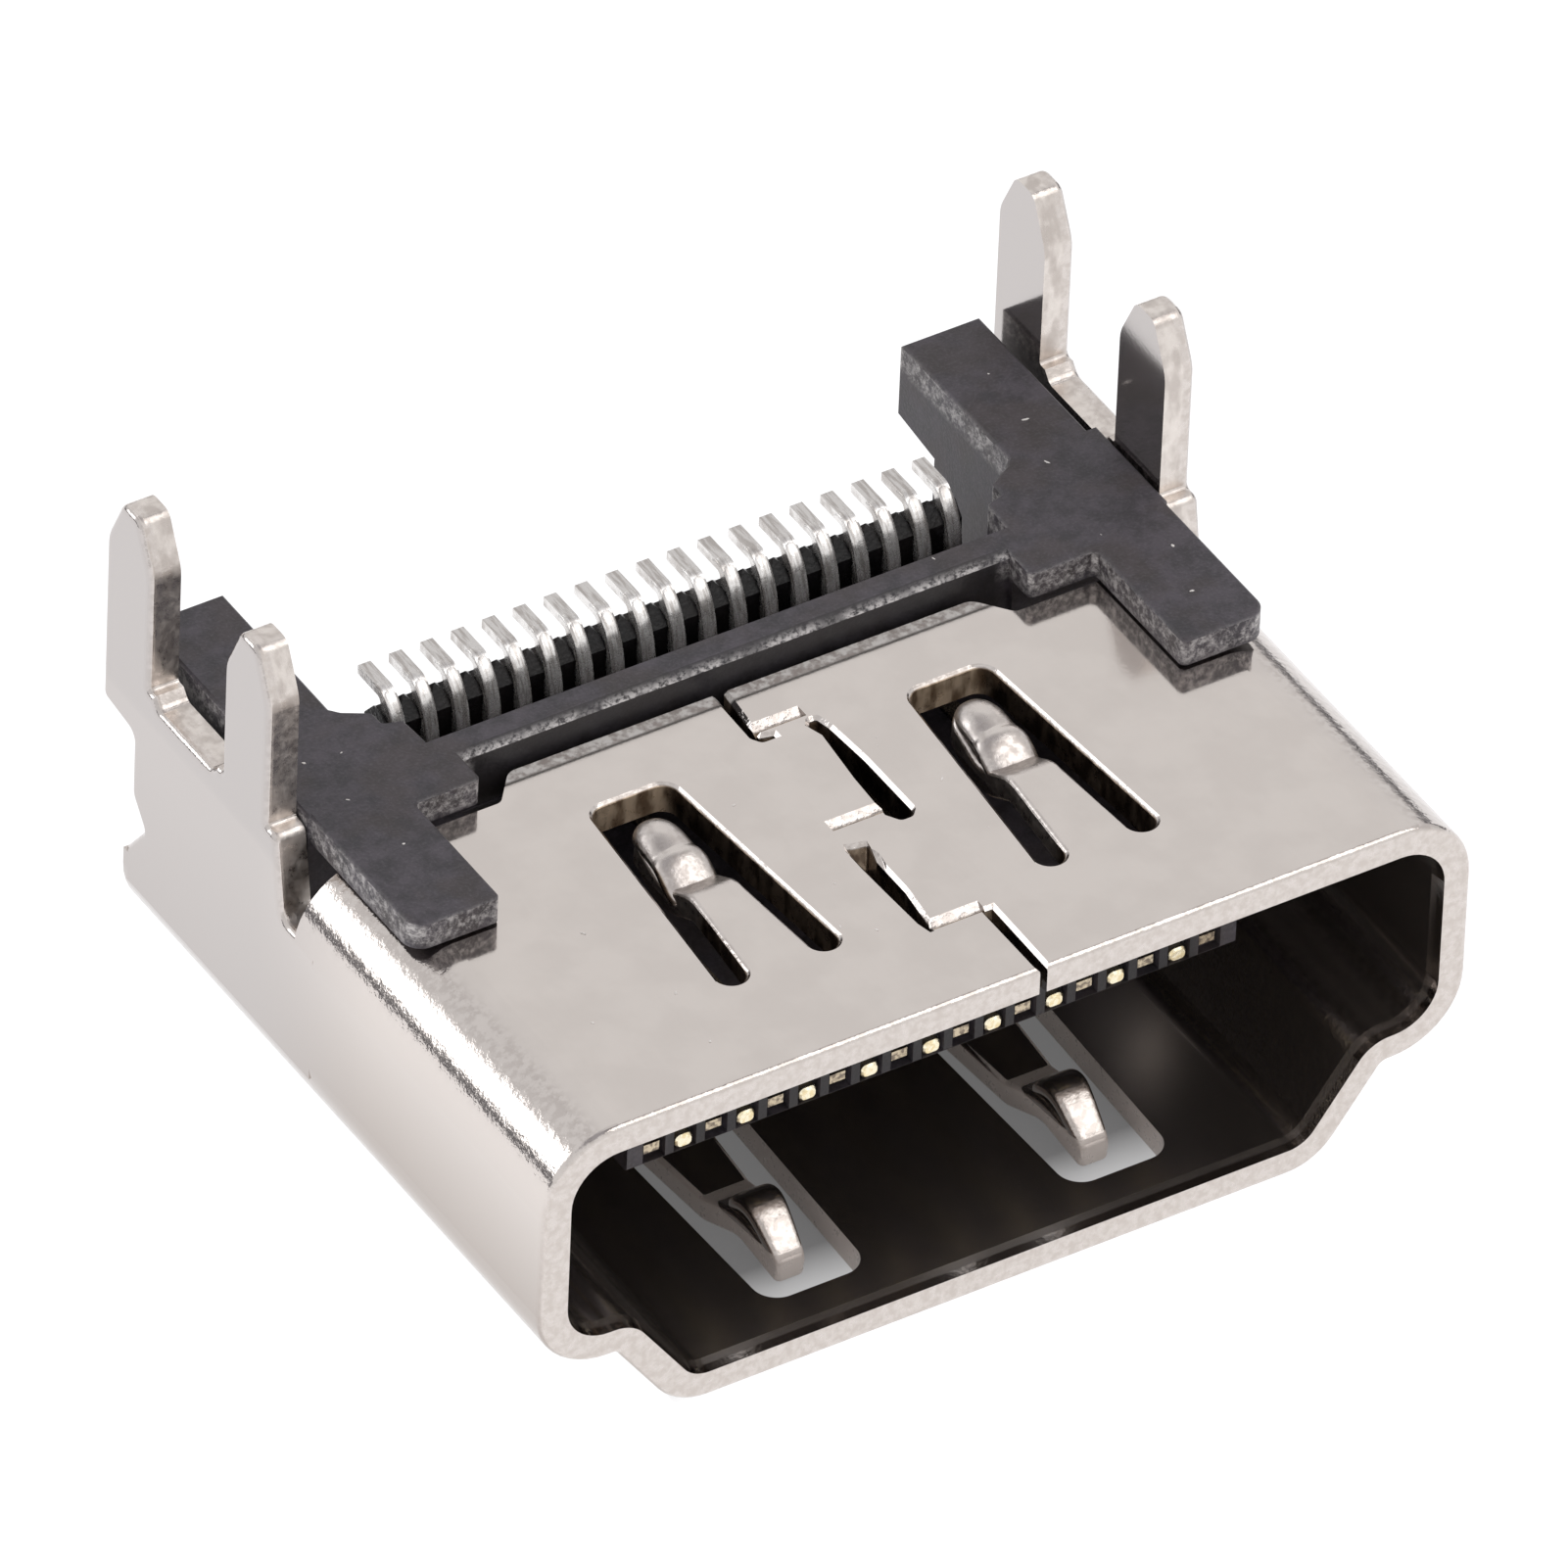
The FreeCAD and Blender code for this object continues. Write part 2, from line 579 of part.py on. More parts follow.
def with_fingers(shell):
    """Cut the four windows and add the spring fingers."""
    wide = (WIDE_FINGER_X, WIDE_FINGER_ROOT, 1)
    narrow = (NARROW_FINGER_X, NARROW_FINGER_ROOT, -1)
    openings = (
        finger_window(*wide, WIDE_WINDOW_END, WIDE_WINDOW_WIDTH, WIDE_WINDOW_ROUND),
        finger_window(*narrow, NARROW_WINDOW_END, NARROW_WINDOW_WIDTH, NARROW_WINDOW_ROUND),
    )
    wide_widths = (WIDE_FINGER_NECK, WIDE_NOSE_TIP, WIDE_NOSE_ROUND)
    narrow_widths = (NARROW_FINGER_NECK, NARROW_NOSE_TIP, NARROW_NOSE_ROUND)
    fingers = (
        spring_finger(*wide, wide_widths, WIDE_NOSE_DIP, -1),
        spring_finger(*narrow, narrow_widths, NARROW_NOSE_DIP, 1),
    )
    for level, tools, finger in zip((CEILING, 0.0), openings, fingers):
        for shape in (*tools, finger):
            shape.translate(FreeCAD.Vector(0, 0, level))
        shell = shell.cut(tools + [mirrored(tool) for tool in tools]).fuse(both_sides(finger))
    return shell


def seam_crossing(line, left, right):
    """A closed crossing at y = line, with the rolled sheet edge behind it."""
    gap = box(left, right, line - SEAM_GAP / 2, line + SEAM_GAP / 2, CEILING - SHEET / 2, SHELL_TOP + SHEET)
    bevel = [
        (line, SHELL_TOP - SEAM_BEVEL_DEPTH), (line + SEAM_BEVEL, SHELL_TOP),
        (line + SEAM_BEVEL, SHELL_TOP + SHEET), (line, SHELL_TOP + SHEET),
    ]
    return [gap, prism(bevel, in_side(left), (right - left, 0, 0))]


def seam():
    """Cutting tools for the whole dovetail seam."""
    tools = []
    for slot in SEAM_SLOTS:
        tools.append(prism(slot, in_plan(CEILING - SHEET / 2), (0, 0, 2 * SHEET)))
        tools.append(rolled(slot, SHELL_TOP, 1))
    for crossing in SEAM_CROSSINGS:
        tools += seam_crossing(*crossing)
    return tools


def shell():
    parts = [rear_tab(), trough(), *both_sides(side_plate())]
    body = joined(front_tube(CORNER_LENGTH), parts)
    return with_fingers(body).cut(seam()).removeSplitter()


# Contacts

def contact_path(is_upper, extra=0.0):
    """Middle line of one contact from its tip to its solder tail, in the side view."""
    half = CONTACT_THICKNESS / 2
    if is_upper:
        tip = TONGUE_LOW + UPPER_TIP
        blade = TONGUE_LOW + TONGUE_THICKNESS + CONTACT_PROUD - half
    else:
        tip = TONGUE_LOW + LOWER_TIP
        blade = TONGUE_LOW - CONTACT_PROUD + half
    level = TAIL_TOP - half
    return [
        (TIP_FRONT - extra, tip), (TIP_FRONT + NOSE_RUN / 2, tip, BEND),
        (TIP_FRONT + NOSE_RUN, blade, BEND),
        (RISER, blade, BEND), (RISER, RISER_LEAN, BEND),
        (TAIL_BEND, level, BEND), (TAIL_REAR + extra, level),
    ]


def contact_x(number):
    return (number - (CONTACT_COUNT + 1) / 2) * PITCH


def strip_solid(number, clearance=0.0):
    """Stamped strip with a wide blade and a narrower tail. With a clearance it is its own cavity."""
    is_upper = number % 2 == 1
    outline = band(contact_path(is_upper, clearance), CONTACT_THICKNESS + 2 * clearance)
    width = CONTACT_WIDTH + 2 * clearance
    solid = prism(outline, in_side(-width / 2), (width, 0, 0))
    trim = (CONTACT_WIDTH - TAIL_WIDTH) / 2
    for side in (-1, 1):
        flank = sorted((side * (width / 2 - trim), side * (width / 2 + MARGIN)))
        solid = solid.cut(box(*flank, BODY_REAR, TAIL_REAR + MARGIN, 0, TAIL_TOP + MARGIN))
    solid.translate(FreeCAD.Vector(contact_x(number), 0, 0))
    return solid


def tip_pad(number):
    """Coined round pad on an even contact's tip."""
    x = contact_x(number)
    middle = TONGUE_LOW + LOWER_TIP
    corners = [
        (x + dx * PAD_WIDTH / 2, middle + dz * PAD_HEIGHT / 2, PAD_ROUND)
        for dx, dz in ((-1, -1), (1, -1), (1, 1), (-1, 1))
    ]
    pad = prism(corners, in_section(PAD_FRONT), (0, PAD_LENGTH, 0))
    front = [edge for edge in pad.Edges if edge.BoundBox.YMax < PAD_FRONT + PAD_BEVEL]
    return pad.makeChamfer(PAD_BEVEL, front)


def contact_solid(number):
    strip = strip_solid(number)
    return strip if number % 2 else joined(strip, [tip_pad(number)])


# Housing

def tongue():
    half = CONTACT_SPAN / 2 + TONGUE_MARGIN
    corners = [
        (TONGUE_FRONT, TONGUE_LOW, TONGUE_EDGE), (BACK_WALL + MARGIN, TONGUE_LOW),
        (BACK_WALL + MARGIN, TONGUE_LOW + TONGUE_THICKNESS),
        (TONGUE_FRONT, TONGUE_LOW + TONGUE_THICKNESS, TONGUE_NOSE),
    ]
    return prism(corners, in_side(-half), (2 * half, 0, 0))


def body():
    """Block that fills the shell behind the mouth, with the shelf for the comb."""
    inside = Part.Face(mouth_outline(-FIT))
    block = inside.extrude(FreeCAD.Vector(0, BODY_REAR - BACK_WALL, 0))
    block.translate(FreeCAD.Vector(0, BACK_WALL, 0))
    shelf = inside.extrude(FreeCAD.Vector(0, LEDGE_REAR - BODY_REAR, 0))
    shelf.translate(FreeCAD.Vector(0, BODY_REAR, 0))
    above = box(-HALF_SHELL, HALF_SHELL, BODY_REAR - MARGIN, LEDGE_REAR + MARGIN,
                LEDGE_TOP, SHELL_TOP + MARGIN)
    return block.fuse(shelf.cut(above))


def end_block():
    """Right-hand end block: wing, stub, cross and the arm behind it."""
    post_front = TAB_LENGTH + FIT
    wing_inner = WING_OUTER - WING_WIDTH
    rear_edge = [
        (BLOCK_OUTER, BLOCK_REAR), (ARM_OUTER - ARM_WIDTH, BLOCK_REAR), *BLOCK_STEPS, (NUB_INNER, BAR_REAR),
    ]
    plan = [
        (wing_inner, WING_FRONT, MOULD_ROUND), (WING_OUTER, WING_FRONT, WING_CORNER),
        (WING_OUTER, WING_REAR), (BLOCK_OUTER, WING_REAR + MOULD_ROUND), *rear_edge,
        (NUB_INNER, NUB_FRONT, MOULD_ROUND), (wing_inner, NUB_FRONT, MOULD_ROUND),
    ]
    top = prism(plan, in_plan(WING_LOW), (0, 0, SEAT - WING_LOW))
    foot = [*rear_edge, (NUB_INNER, post_front), (BLOCK_OUTER, post_front)]
    post = prism(foot, in_plan(CEILING - MARGIN), (0, 0, SEAT - CEILING + MARGIN))
    return top.fuse([post, arm()])


def arm():
    """Arm behind an end block, on the ribbed wall that carries it from the shelf."""
    front = BLOCK_REAR - MARGIN
    side = [
        (front, SEAT), (front, LEDGE_TOP), (LEDGE_REAR, LEDGE_TOP), (LEDGE_REAR, SEAT - CHEEK_TOP),
        (ARM_REAR, SEAT - ARM_THICKNESS), (ARM_REAR, SEAT),
    ]
    rib_side = [
        (LEDGE_REAR - RIB_ROUND, SEAT - RIB_DROP), (RIB_REAR, SEAT - RIB_DROP, RIB_ROUND),
        (RIB_REAR, SEAT - ARM_THICKNESS / 2), (LEDGE_REAR - RIB_ROUND, SEAT - ARM_THICKNESS / 2),
    ]
    wall = prism(side, in_side(ARM_OUTER - ARM_WIDTH), (ARM_WIDTH, 0, 0))
    return wall.fuse(prism(rib_side, in_side(ARM_OUTER - RIB_WIDTH), (RIB_WIDTH, 0, 0)))


def bar():
    """Bar between the end blocks, with a bevel along its front."""
    side = [
        (BAR_FRONT, CEILING - MARGIN), (BAR_FRONT, SEAT - BAR_BEVEL), (BAR_FRONT + BAR_BEVEL, SEAT),
        (BAR_REAR, SEAT), (BAR_REAR, CEILING - MARGIN),
    ]
    return prism(side, in_side(-NUB_INNER - MARGIN), (2 * (NUB_INNER + MARGIN), 0, 0))


def tip_pockets():
    """Pockets in the tongue's front face, one round each contact tip."""
    half = TIP_POCKET_WIDTH / 2
    low = TONGUE_LOW + TIP_POCKET_LOW
    high = TONGUE_LOW + TIP_POCKET_HIGH
    pockets = []
    for number in range(1, CONTACT_COUNT + 1):
        x = contact_x(number)
        pockets.append(box(x - half, x + half, TONGUE_FRONT - MARGIN,
                           TONGUE_FRONT + TIP_POCKET_DEPTH, low, high))
    return pockets


def comb_space():
    """Room for the comb on the shelf."""
    half = COMB_HALF_WIDTH + FIT
    return box(-half, half, BODY_REAR, COMB_REAR + FIT, LEDGE_TOP, SEAT + MARGIN)


def seat_outline(solid):
    """Edges round the seat, apart from the bar's bevelled front."""
    found = []
    for edge in solid.Edges:
        ends = [edge.valueAt(edge.FirstParameter), edge.valueAt(edge.LastParameter)]
        level = all(abs(p.z - SEAT) < 1e-6 for p in ends)
        bevelled = all(abs(p.y - BAR_FRONT - BAR_BEVEL) < 1e-6 for p in ends)
        if level and not bevelled:
            found.append(edge)
    return found


def housing():
    solid = joined(body(), [tongue(), bar(), *both_sides(end_block())]).cut(comb_space())
    solid = solid.makeChamfer(EDGE, seat_outline(solid))
    cavities = [strip_solid(n, CONTACT_FIT) for n in range(1, CONTACT_COUNT + 1)]
    return solid.cut(cavities + tip_pockets()).removeSplitter()


# Comb

def tail_groove(x):
    """Room for one riser and its tail, open to the front and to the board."""
    half = TAIL_WIDTH / 2 + FIT
    under = band(contact_path(True), CONTACT_THICKNESS + 2 * FIT)[::-1]
    lean, bend = under[4:6]
    groove = [
        (COMB_FRONT - MARGIN, 0), (lean[0], 0), lean, bend, (COMB_REAR + MARGIN, bend[1]),
        (COMB_REAR + MARGIN, SEAT), (COMB_FRONT - MARGIN, SEAT),
    ]
    return prism(groove, in_side(x - half), (2 * half, 0, 0))


def tooth_valley(x):
    """Wedge over one tail that leaves the teeth on both sides of it roof-shaped."""
    half = PITCH / 2
    ridge = SEAT - TOOTH_HIGH
    valley = [
        (x - half, ridge), (x - TAIL_WIDTH / 2, ridge - TOOTH_SLOPE),
        (x + TAIL_WIDTH / 2, ridge - TOOTH_SLOPE), (x + half, ridge), (x + half, SEAT), (x - half, SEAT),
    ]
    return prism(valley, in_section(TOOTH_FRONT - MARGIN), (0, 2 * MARGIN, 0))


def comb():
    """Spacer that stands on the housing's shelf, with a tooth between each pair of tails."""
    side = [
        (COMB_FRONT, LEDGE_TOP + FIT), (COMB_FRONT, SEAT - COMB_DECK), (TOOTH_FRONT, SEAT - COMB_DECK),
        (TOOTH_FRONT, SEAT - TOOTH_LOW), (TOOTH_PEAK, SEAT - TOOTH_HIGH), (COMB_REAR, SEAT - TOOTH_REAR),
        (COMB_REAR, LEDGE_TOP + FIT),
    ]
    solid = prism(side, in_side(-COMB_HALF_WIDTH), (2 * COMB_HALF_WIDTH, 0, 0))
    tools = []
    for number in range(1, CONTACT_COUNT + 1):
        tools += [tail_groove(contact_x(number)), tooth_valley(contact_x(number))]
    return solid.cut(tools)


# Write one file per piece

def pieces():
    made = {"shell": shell(), "housing": housing(), "tail_comb": comb()}
    for number in range(1, CONTACT_COUNT + 1):
        made[f"contact_{number:02d}"] = contact_solid(number)
    return made


os.makedirs("parts", exist_ok=True)
for name, shape in pieces().items():
    shape.exportStep(f"parts/{name}.step")
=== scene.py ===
# %% [markdown]
# # A board-mounted video socket on a light table
# The real object is a folded box of nickel-plated steel sheet, a black moulded housing with a
# thin tongue, nineteen stamped contacts and a comb between their solder tails. Its solids come
# from the CAD model and stay where they are. This lesson sets up a camera and a light table,
# gives the solids their finishes, and adds what they leave out: the press form of the spring
# noses, the tin on the tails' bends and a few specks of dust. It is written for a reader who is
# learning Blender.

# %% Load the solids
import bpy
import bmesh
import math
from mathutils import Matrix, Vector


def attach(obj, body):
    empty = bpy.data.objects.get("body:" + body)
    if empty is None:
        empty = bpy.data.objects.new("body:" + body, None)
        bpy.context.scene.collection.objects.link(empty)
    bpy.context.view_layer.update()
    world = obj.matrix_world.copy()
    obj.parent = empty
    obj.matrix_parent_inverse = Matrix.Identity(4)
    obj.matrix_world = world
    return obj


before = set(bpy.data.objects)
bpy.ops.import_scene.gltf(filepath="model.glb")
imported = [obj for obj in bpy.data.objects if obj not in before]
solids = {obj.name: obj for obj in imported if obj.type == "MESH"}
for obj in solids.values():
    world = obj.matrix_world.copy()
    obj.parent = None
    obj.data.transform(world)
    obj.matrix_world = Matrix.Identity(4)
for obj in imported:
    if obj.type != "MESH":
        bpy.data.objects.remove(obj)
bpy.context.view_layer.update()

# %% [markdown]
# ## Units, colours and nodes
# Blender works in metres, and the object is only 15 mm wide, so sizes are written in millimetres
# and turned to metres by one factor. Colours are written as they look on a screen, in sRGB hex,
# and one function turns them to the linear values that shaders and lights need. A node tree
# could be built by hand in the editor, but a script can be read and run again, so one small
# function adds a node, sets it and links it. Every pattern is measured on the object: the object
# coordinates are scaled from metres once, so a noise with features of 0.1 mm has a scale of
# 1 / 0.1.

# %% Units and colours
MM = 0.001
PER_MM = 1 / MM


def linear(hex_colour):
    """Linear RGBA of an sRGB hex colour."""
    channels = [int(hex_colour[i:i + 2], 16) / 255 for i in (1, 3, 5)]
    bent = [c / 12.92 if c <= 0.04045 else ((c + 0.055) / 1.055) ** 2.4 for c in channels]
    return (*bent, 1.0)


print("screen grey #808080 is linear", round(linear("#808080")[0], 3))


# %% One function for nodes, and the filling of their inputs
def fill(tree, node, inputs):
    """Sets or links a node's inputs, by name or number.
    A node given for an input is linked from its first output that is in use."""
    for key, value in inputs.items():
        if isinstance(key, int):
            socket = node.inputs[key]
        else:
            socket = next(s for s in node.inputs if s.name == key and s.enabled)
        if isinstance(value, bpy.types.Node):
            value = next(s for s in value.outputs if s.enabled)
        if isinstance(value, bpy.types.NodeSocket):
            tree.links.new(value, socket)
        else:
            socket.default_value = value


def add(tree, kind, inputs=None, **settings):
    """Adds a node, sets its options, then fills its inputs."""
    made = tree.nodes.new(kind)
    for name, value in settings.items():
        setattr(made, name, value)
    fill(tree, made, inputs or {})
    return made


# %% Names of the kinds and settings used most, and the start of every material
MATH = "ShaderNodeMath"
VECTOR = "ShaderNodeVectorMath"
STEP = "ShaderNodeMapRange"
MIX = "ShaderNodeMix"
NOISE = "ShaderNodeTexNoise"
SPLIT = "ShaderNodeSeparateXYZ"
BUMP = "ShaderNodeBump"
SHADER = "Principled BSDF"
SPAN = {"From Min": 0.35, "From Max": 0.65}     # most of a noise's values lie between these
WIDE_SPAN = {"From Min": 0.3, "From Max": 0.7}  # and nearly all of them between these
SMOOTH = {"interpolation_type": "SMOOTHSTEP"}
COLOUR = {"data_type": "RGBA"}
TIMES = {"operation": "MULTIPLY"}
TIMES_PLUS = {"operation": "MULTIPLY_ADD"}      # input 0 times input 1, plus input 2
LARGER = {"operation": "MAXIMUM"}
LESS = {"operation": "SUBTRACT"}
UNSIGNED = {"operation": "ABSOLUTE"}


def start_material(name):
    """New material: itself, its tree, object coordinates in mm, and the direction."""
    made = bpy.data.materials.new(name)
    made.use_nodes = True
    tree = made.node_tree
    place = add(tree, "ShaderNodeTexCoord")
    at = add(tree, VECTOR, {0: place.outputs["Object"], 1: (PER_MM,) * 3}, **TIMES)
    return made, tree, at, place.outputs["Normal"]


# %% [markdown]
# ## Camera
# The photograph was taken from the left and above with a long lens, so parallel edges stay
# almost parallel. A camera could be aimed with a Track To constraint, but the picture is also
# turned by two degrees about the line of sight, so the camera's three axes are worked out here
# and put straight into its matrix.

# %% Camera
AZIMUTH = math.radians(-33.23)
ELEVATION = math.radians(40.13)
ROLL = math.radians(2.47)
EYE = Vector((-195.20, -292.01, 304.94)) * MM
SENSOR = 36.0               # its width in mm
FOCAL_PIXELS = 34459        # the lens's focal length in pixels of the photograph
IMAGE_PIXELS = 1601

back = Vector((math.sin(AZIMUTH) * math.cos(ELEVATION),
               -math.cos(AZIMUTH) * math.cos(ELEVATION), math.sin(ELEVATION)))
level_right = Vector((math.cos(AZIMUTH), math.sin(AZIMUTH), 0))
level_up = back.cross(level_right)
right = math.cos(ROLL) * level_right + math.sin(ROLL) * level_up
up = -math.sin(ROLL) * level_right + math.cos(ROLL) * level_up

camera_data = bpy.data.cameras.new("camera")
camera_data.sensor_width = SENSOR
camera_data.lens = FOCAL_PIXELS / IMAGE_PIXELS * SENSOR
camera_data.clip_start = 0.01
camera_data.clip_end = 10
camera = bpy.data.objects.new("camera", camera_data)
turn = Matrix((right, up, back)).transposed().to_4x4()
camera.matrix_world = Matrix.Translation(EYE) @ turn
bpy.context.scene.collection.objects.link(camera)
bpy.context.scene.camera = camera
print("lens:", round(camera_data.lens), "mm, distance:", round(EYE.length, 3), "m")

# %% [markdown]
# ## Light table
# The object lies on white without a shadow, as on a sheet of opal acrylic that
# is lit from below. A white floor with strong lamps would burn out the object's own light parts
# before it turned white itself. A floor that glows solves that: most of its white is its own
# light, and the rest comes from the studio above it, so a shadow takes little away. Under the
# object the glow is cut down in a patch, a painted shadow, so the floor looks grey through the
# lower windows.

# %% Floor
HALF_FLOOR = 1.5            # in metres
FLOOR_LEVEL = -0.02 * MM    # a hair below the shell, so that the two flat faces don't flicker
SQUARE = ((-1, -1), (1, -1), (1, 1), (-1, 1))

floor_corners = [(x * HALF_FLOOR, y * HALF_FLOOR, FLOOR_LEVEL) for x, y in SQUARE]
floor_mesh = bpy.data.meshes.new("floor")
floor_mesh.from_pydata(floor_corners, [], [(0, 1, 2, 3)])
floor = bpy.data.objects.new("floor", floor_mesh)
bpy.context.scene.collection.objects.link(floor)
print("floor:", 2 * HALF_FLOOR, "m square")

# %% Opal acrylic, lit from below
SHADOW_PATCH_MIDDLE = (0.0, 5.9, 0.0)           # in mm, like the other sizes of the patch of painted shadow
SHADOW_PATCH_HALF = (5.2, 5.9)      # its half width and half depth
SHADOW_PATCH_FADE = (0.4, 2.0)      # over which its shade fades out at the sides and at the ends
SHADOW_PATCH_GLOW = 0.12
TABLE_GLOW = 0.97

acrylic, tree, at, _ = start_material("opal_acrylic_lit_from_below")
off_middle = add(tree, VECTOR, {0: at, 1: SHADOW_PATCH_MIDDLE}, **LESS)
off_middle = add(tree, VECTOR, {0: off_middle}, **UNSIGNED)
off_middle = add(tree, SPLIT, {0: off_middle}).outputs
past_side, past_end = [
    add(tree, STEP, {"Value": off, "From Min": half - fade, "From Max": half})
    for off, half, fade in zip(off_middle, SHADOW_PATCH_HALF, SHADOW_PATCH_FADE)]
past_shadow_patch = add(tree, MATH, {0: past_side, 1: past_end}, **LARGER)
# painted shadow: under the object the floor glows less than on the rest of the table
glow = add(tree, STEP, {"Value": past_shadow_patch, "To Min": SHADOW_PATCH_GLOW, "To Max": TABLE_GLOW})
fill(tree, tree.nodes[SHADER], {
    "Base Color": linear("#6C6A6D"), "Roughness": 0.9, "Specular IOR Level": 0.1,
    "Emission Color": linear("#FFFFFF"), "Emission Strength": glow})
floor_mesh.materials.append(acrylic)
print("card:", [2 * half for half in SHADOW_PATCH_HALF], "mm")

# %% [markdown]
# ## Studio
# Polished metal shows the room, so the room is what makes the plating look real. The real one
# was a white tent with a dark gap behind the table and a less bright roof, and two lamps behind
# cloth. The tent is the world: a colour ramp on the height of each direction, from 0 at the
# horizon to 1 straight up, and in front the height never counts as lower than the gap's top. A
# photographed room could stand in for it, but a ramp needs no image, and each stop can be
# matched to what the plating mirrors. The lamps are square area lights, given by the direction
# they come from, their distance and width, and the brightness of their cloth.

# %% World
GAP_TOP = 0.22
TO_THE_FRONT = {"From Min": 0.3, "From Max": -0.1}      # a direction's Y, from behind to in front
TENT = ((0.0, "#6A686C"), (0.09, "#757376"), (GAP_TOP, "#F8F7F7"), (0.80, "#F8F7F7"), (0.92, "#B9B7BA"))

world = bpy.data.worlds.new("white_tent")
bpy.context.scene.world = world
world.use_nodes = True
sky = world.node_tree
direction = add(sky, "ShaderNodeTexCoord").outputs["Generated"]
direction = add(sky, SPLIT, {0: direction}).outputs
in_front = add(sky, STEP, {"Value": direction["Y"], "To Max": GAP_TOP, **TO_THE_FRONT})
height = add(sky, MATH, {0: direction["Z"], 1: in_front}, **LARGER)
tent = add(sky, "ShaderNodeValToRGB", {0: height})
ramp = tent.color_ramp.elements
while len(ramp) < len(TENT):
    ramp.new(0.5)
for stop, (stop_height, colour) in zip(ramp, TENT):
    stop.position = stop_height
    stop.color = linear(colour)
fill(sky, sky.nodes["Background"], {"Color": tent, "Strength": 1.0})
bpy.context.scene.view_settings.view_transform = "Standard"
print("tent:", len(ramp), "stops")


# %% Softboxes
def softbox(name, towards, distance, width, brightness, colour):
    """Square lamp that faces the object from one direction. brightness is that of its cloth."""
    lamp = bpy.data.lights.new(name, "AREA")
    lamp.shape = "SQUARE"
    lamp.size = width
    lamp.energy = brightness * math.pi * width * width
    lamp.color = linear(colour)[:3]
    made = bpy.data.objects.new(name, lamp)
    away = Vector(towards).normalized()
    turn = away.to_track_quat("Z", "Y").to_matrix().to_4x4()
    made.matrix_world = Matrix.Translation(away * distance) @ turn
    bpy.context.scene.collection.objects.link(made)
    print(name, "power in W:", round(lamp.energy, 2))


softbox("front_softbox", towards=(0.43, -0.41, 0.80), distance=0.36, width=0.20,
        brightness=1.55, colour="#FFFDFB")
softbox("left_softbox", towards=(-0.66, 0.64, 0.39), distance=0.40, width=0.16,
        brightness=1.9, colour="#FFFFFF")

# %% [markdown]
# ## Masks
# A finish changes from place to place, and masks say where. They are worked out from the
# surface's direction and place. One finds bends and rolled edges, where the surface points along
# none of the three axes. Masks could be painted by hand, but a rule holds for every window, leg
# and finger at once, and it costs no image.

# %% Masks that the finishes share
OFF_AXIS = {"From Min": 0.995, "From Max": 0.93}        # cosines of the angle to the nearest axis


def facing(tree, normal):
    """How far the surface faces along X, Y and Z, from 0 to 1 each."""
    return add(tree, SPLIT, {0: add(tree, VECTOR, {0: normal}, **UNSIGNED)}).outputs


def bend_mask(tree, faces):
    """One where the surface points along no axis, as on a bend or a rolled edge."""
    most = add(tree, MATH, {0: faces[0], 1: faces[1]}, **LARGER)
    most = add(tree, MATH, {0: most, 1: faces[2]}, **LARGER)
    return add(tree, STEP, {"Value": most, **OFF_AXIS}, **SMOOTH)


# %% [markdown]
# ## Nickel-plated steel, folded and blanked
# The shell is 0.5 mm steel sheet with dull nickel plating, blanked and folded. The flat faces
# mirror the tent as an even warm grey. The side walls carry painted shade, a little darker
# towards the floor. On the bends the plating is stretched into a fine orange peel, so a highlight
# there breaks into specks and streaks. The blanked edges have two zones: a bright band where the
# punch sheared the sheet, and below it a torn zone that shows rough brownish steel, painted
# lighter where it looks along Y and darker elsewhere, as painted light and shade. The spring
# noses are rubbed duller, and the wide wall's rear edge is worn light. It is one material,
# because the real thing is one sheet. The first cells work out where each zone lies.

# %% Where the sheet was cut
SHEET = 0.50
CEILING = 5.05              # inner face of the wide wall
SHELL_TOP = 5.55            # its outer face
FLAT_HALF = 6.25            # half width of its flat part
SIDE_INNER = 6.99           # inner face of the side walls
SIDE_OUTER = SIDE_INNER + SHEET
RIM_FACE = 0.12             # behind the front edge, still on its rolled rim
BLUR = 0.02                 # over which a mask by place goes from 0 to 1
TURNED_AWAY = {"From Min": 0.5, "From Max": 0.3}        # how far a face looks along an axis

nickel, tree, at, normal = start_material("nickel_plated_steel_folded_and_blanked")
faces = facing(tree, normal)
bends = bend_mask(tree, faces)
place = add(tree, SPLIT, {0: at}).outputs
side = add(tree, MATH, {0: place[0]}, **UNSIGNED)
behind = add(tree, STEP, {"Value": place[1], "From Min": RIM_FACE, "From Max": RIM_FACE + BLUR})

upright = add(tree, STEP, {"Value": faces[2], **TURNED_AWAY}, **SMOOTH)
inboard = add(tree, STEP, {"Value": side, "From Min": FLAT_HALF + BLUR, "From Max": FLAT_HALF})
inboard = add(tree, MATH, {0: inboard, 1: behind}, **TIMES)
high = add(tree, STEP, {"Value": place[2], "From Min": CEILING - BLUR, "From Max": CEILING})
low = add(tree, STEP, {"Value": place[2], "From Min": SHEET + BLUR, "From Max": SHEET})
windows = add(tree, MATH, {0: high, 1: low}, **LARGER)
windows = add(tree, MATH, {0: windows, 1: upright}, **TIMES)
windows = add(tree, MATH, {0: windows, 1: inboard}, **TIMES)

edge_on = add(tree, STEP, {"Value": faces[0], **TURNED_AWAY}, **SMOOTH)
outboard = add(tree, STEP, {"Value": side, "From Min": SIDE_INNER - BLUR, "From Max": SIDE_INNER})
outboard = add(tree, MATH, {0: outboard, 1: behind}, **TIMES)
plates = add(tree, MATH, {0: outboard, 1: edge_on}, **TIMES)

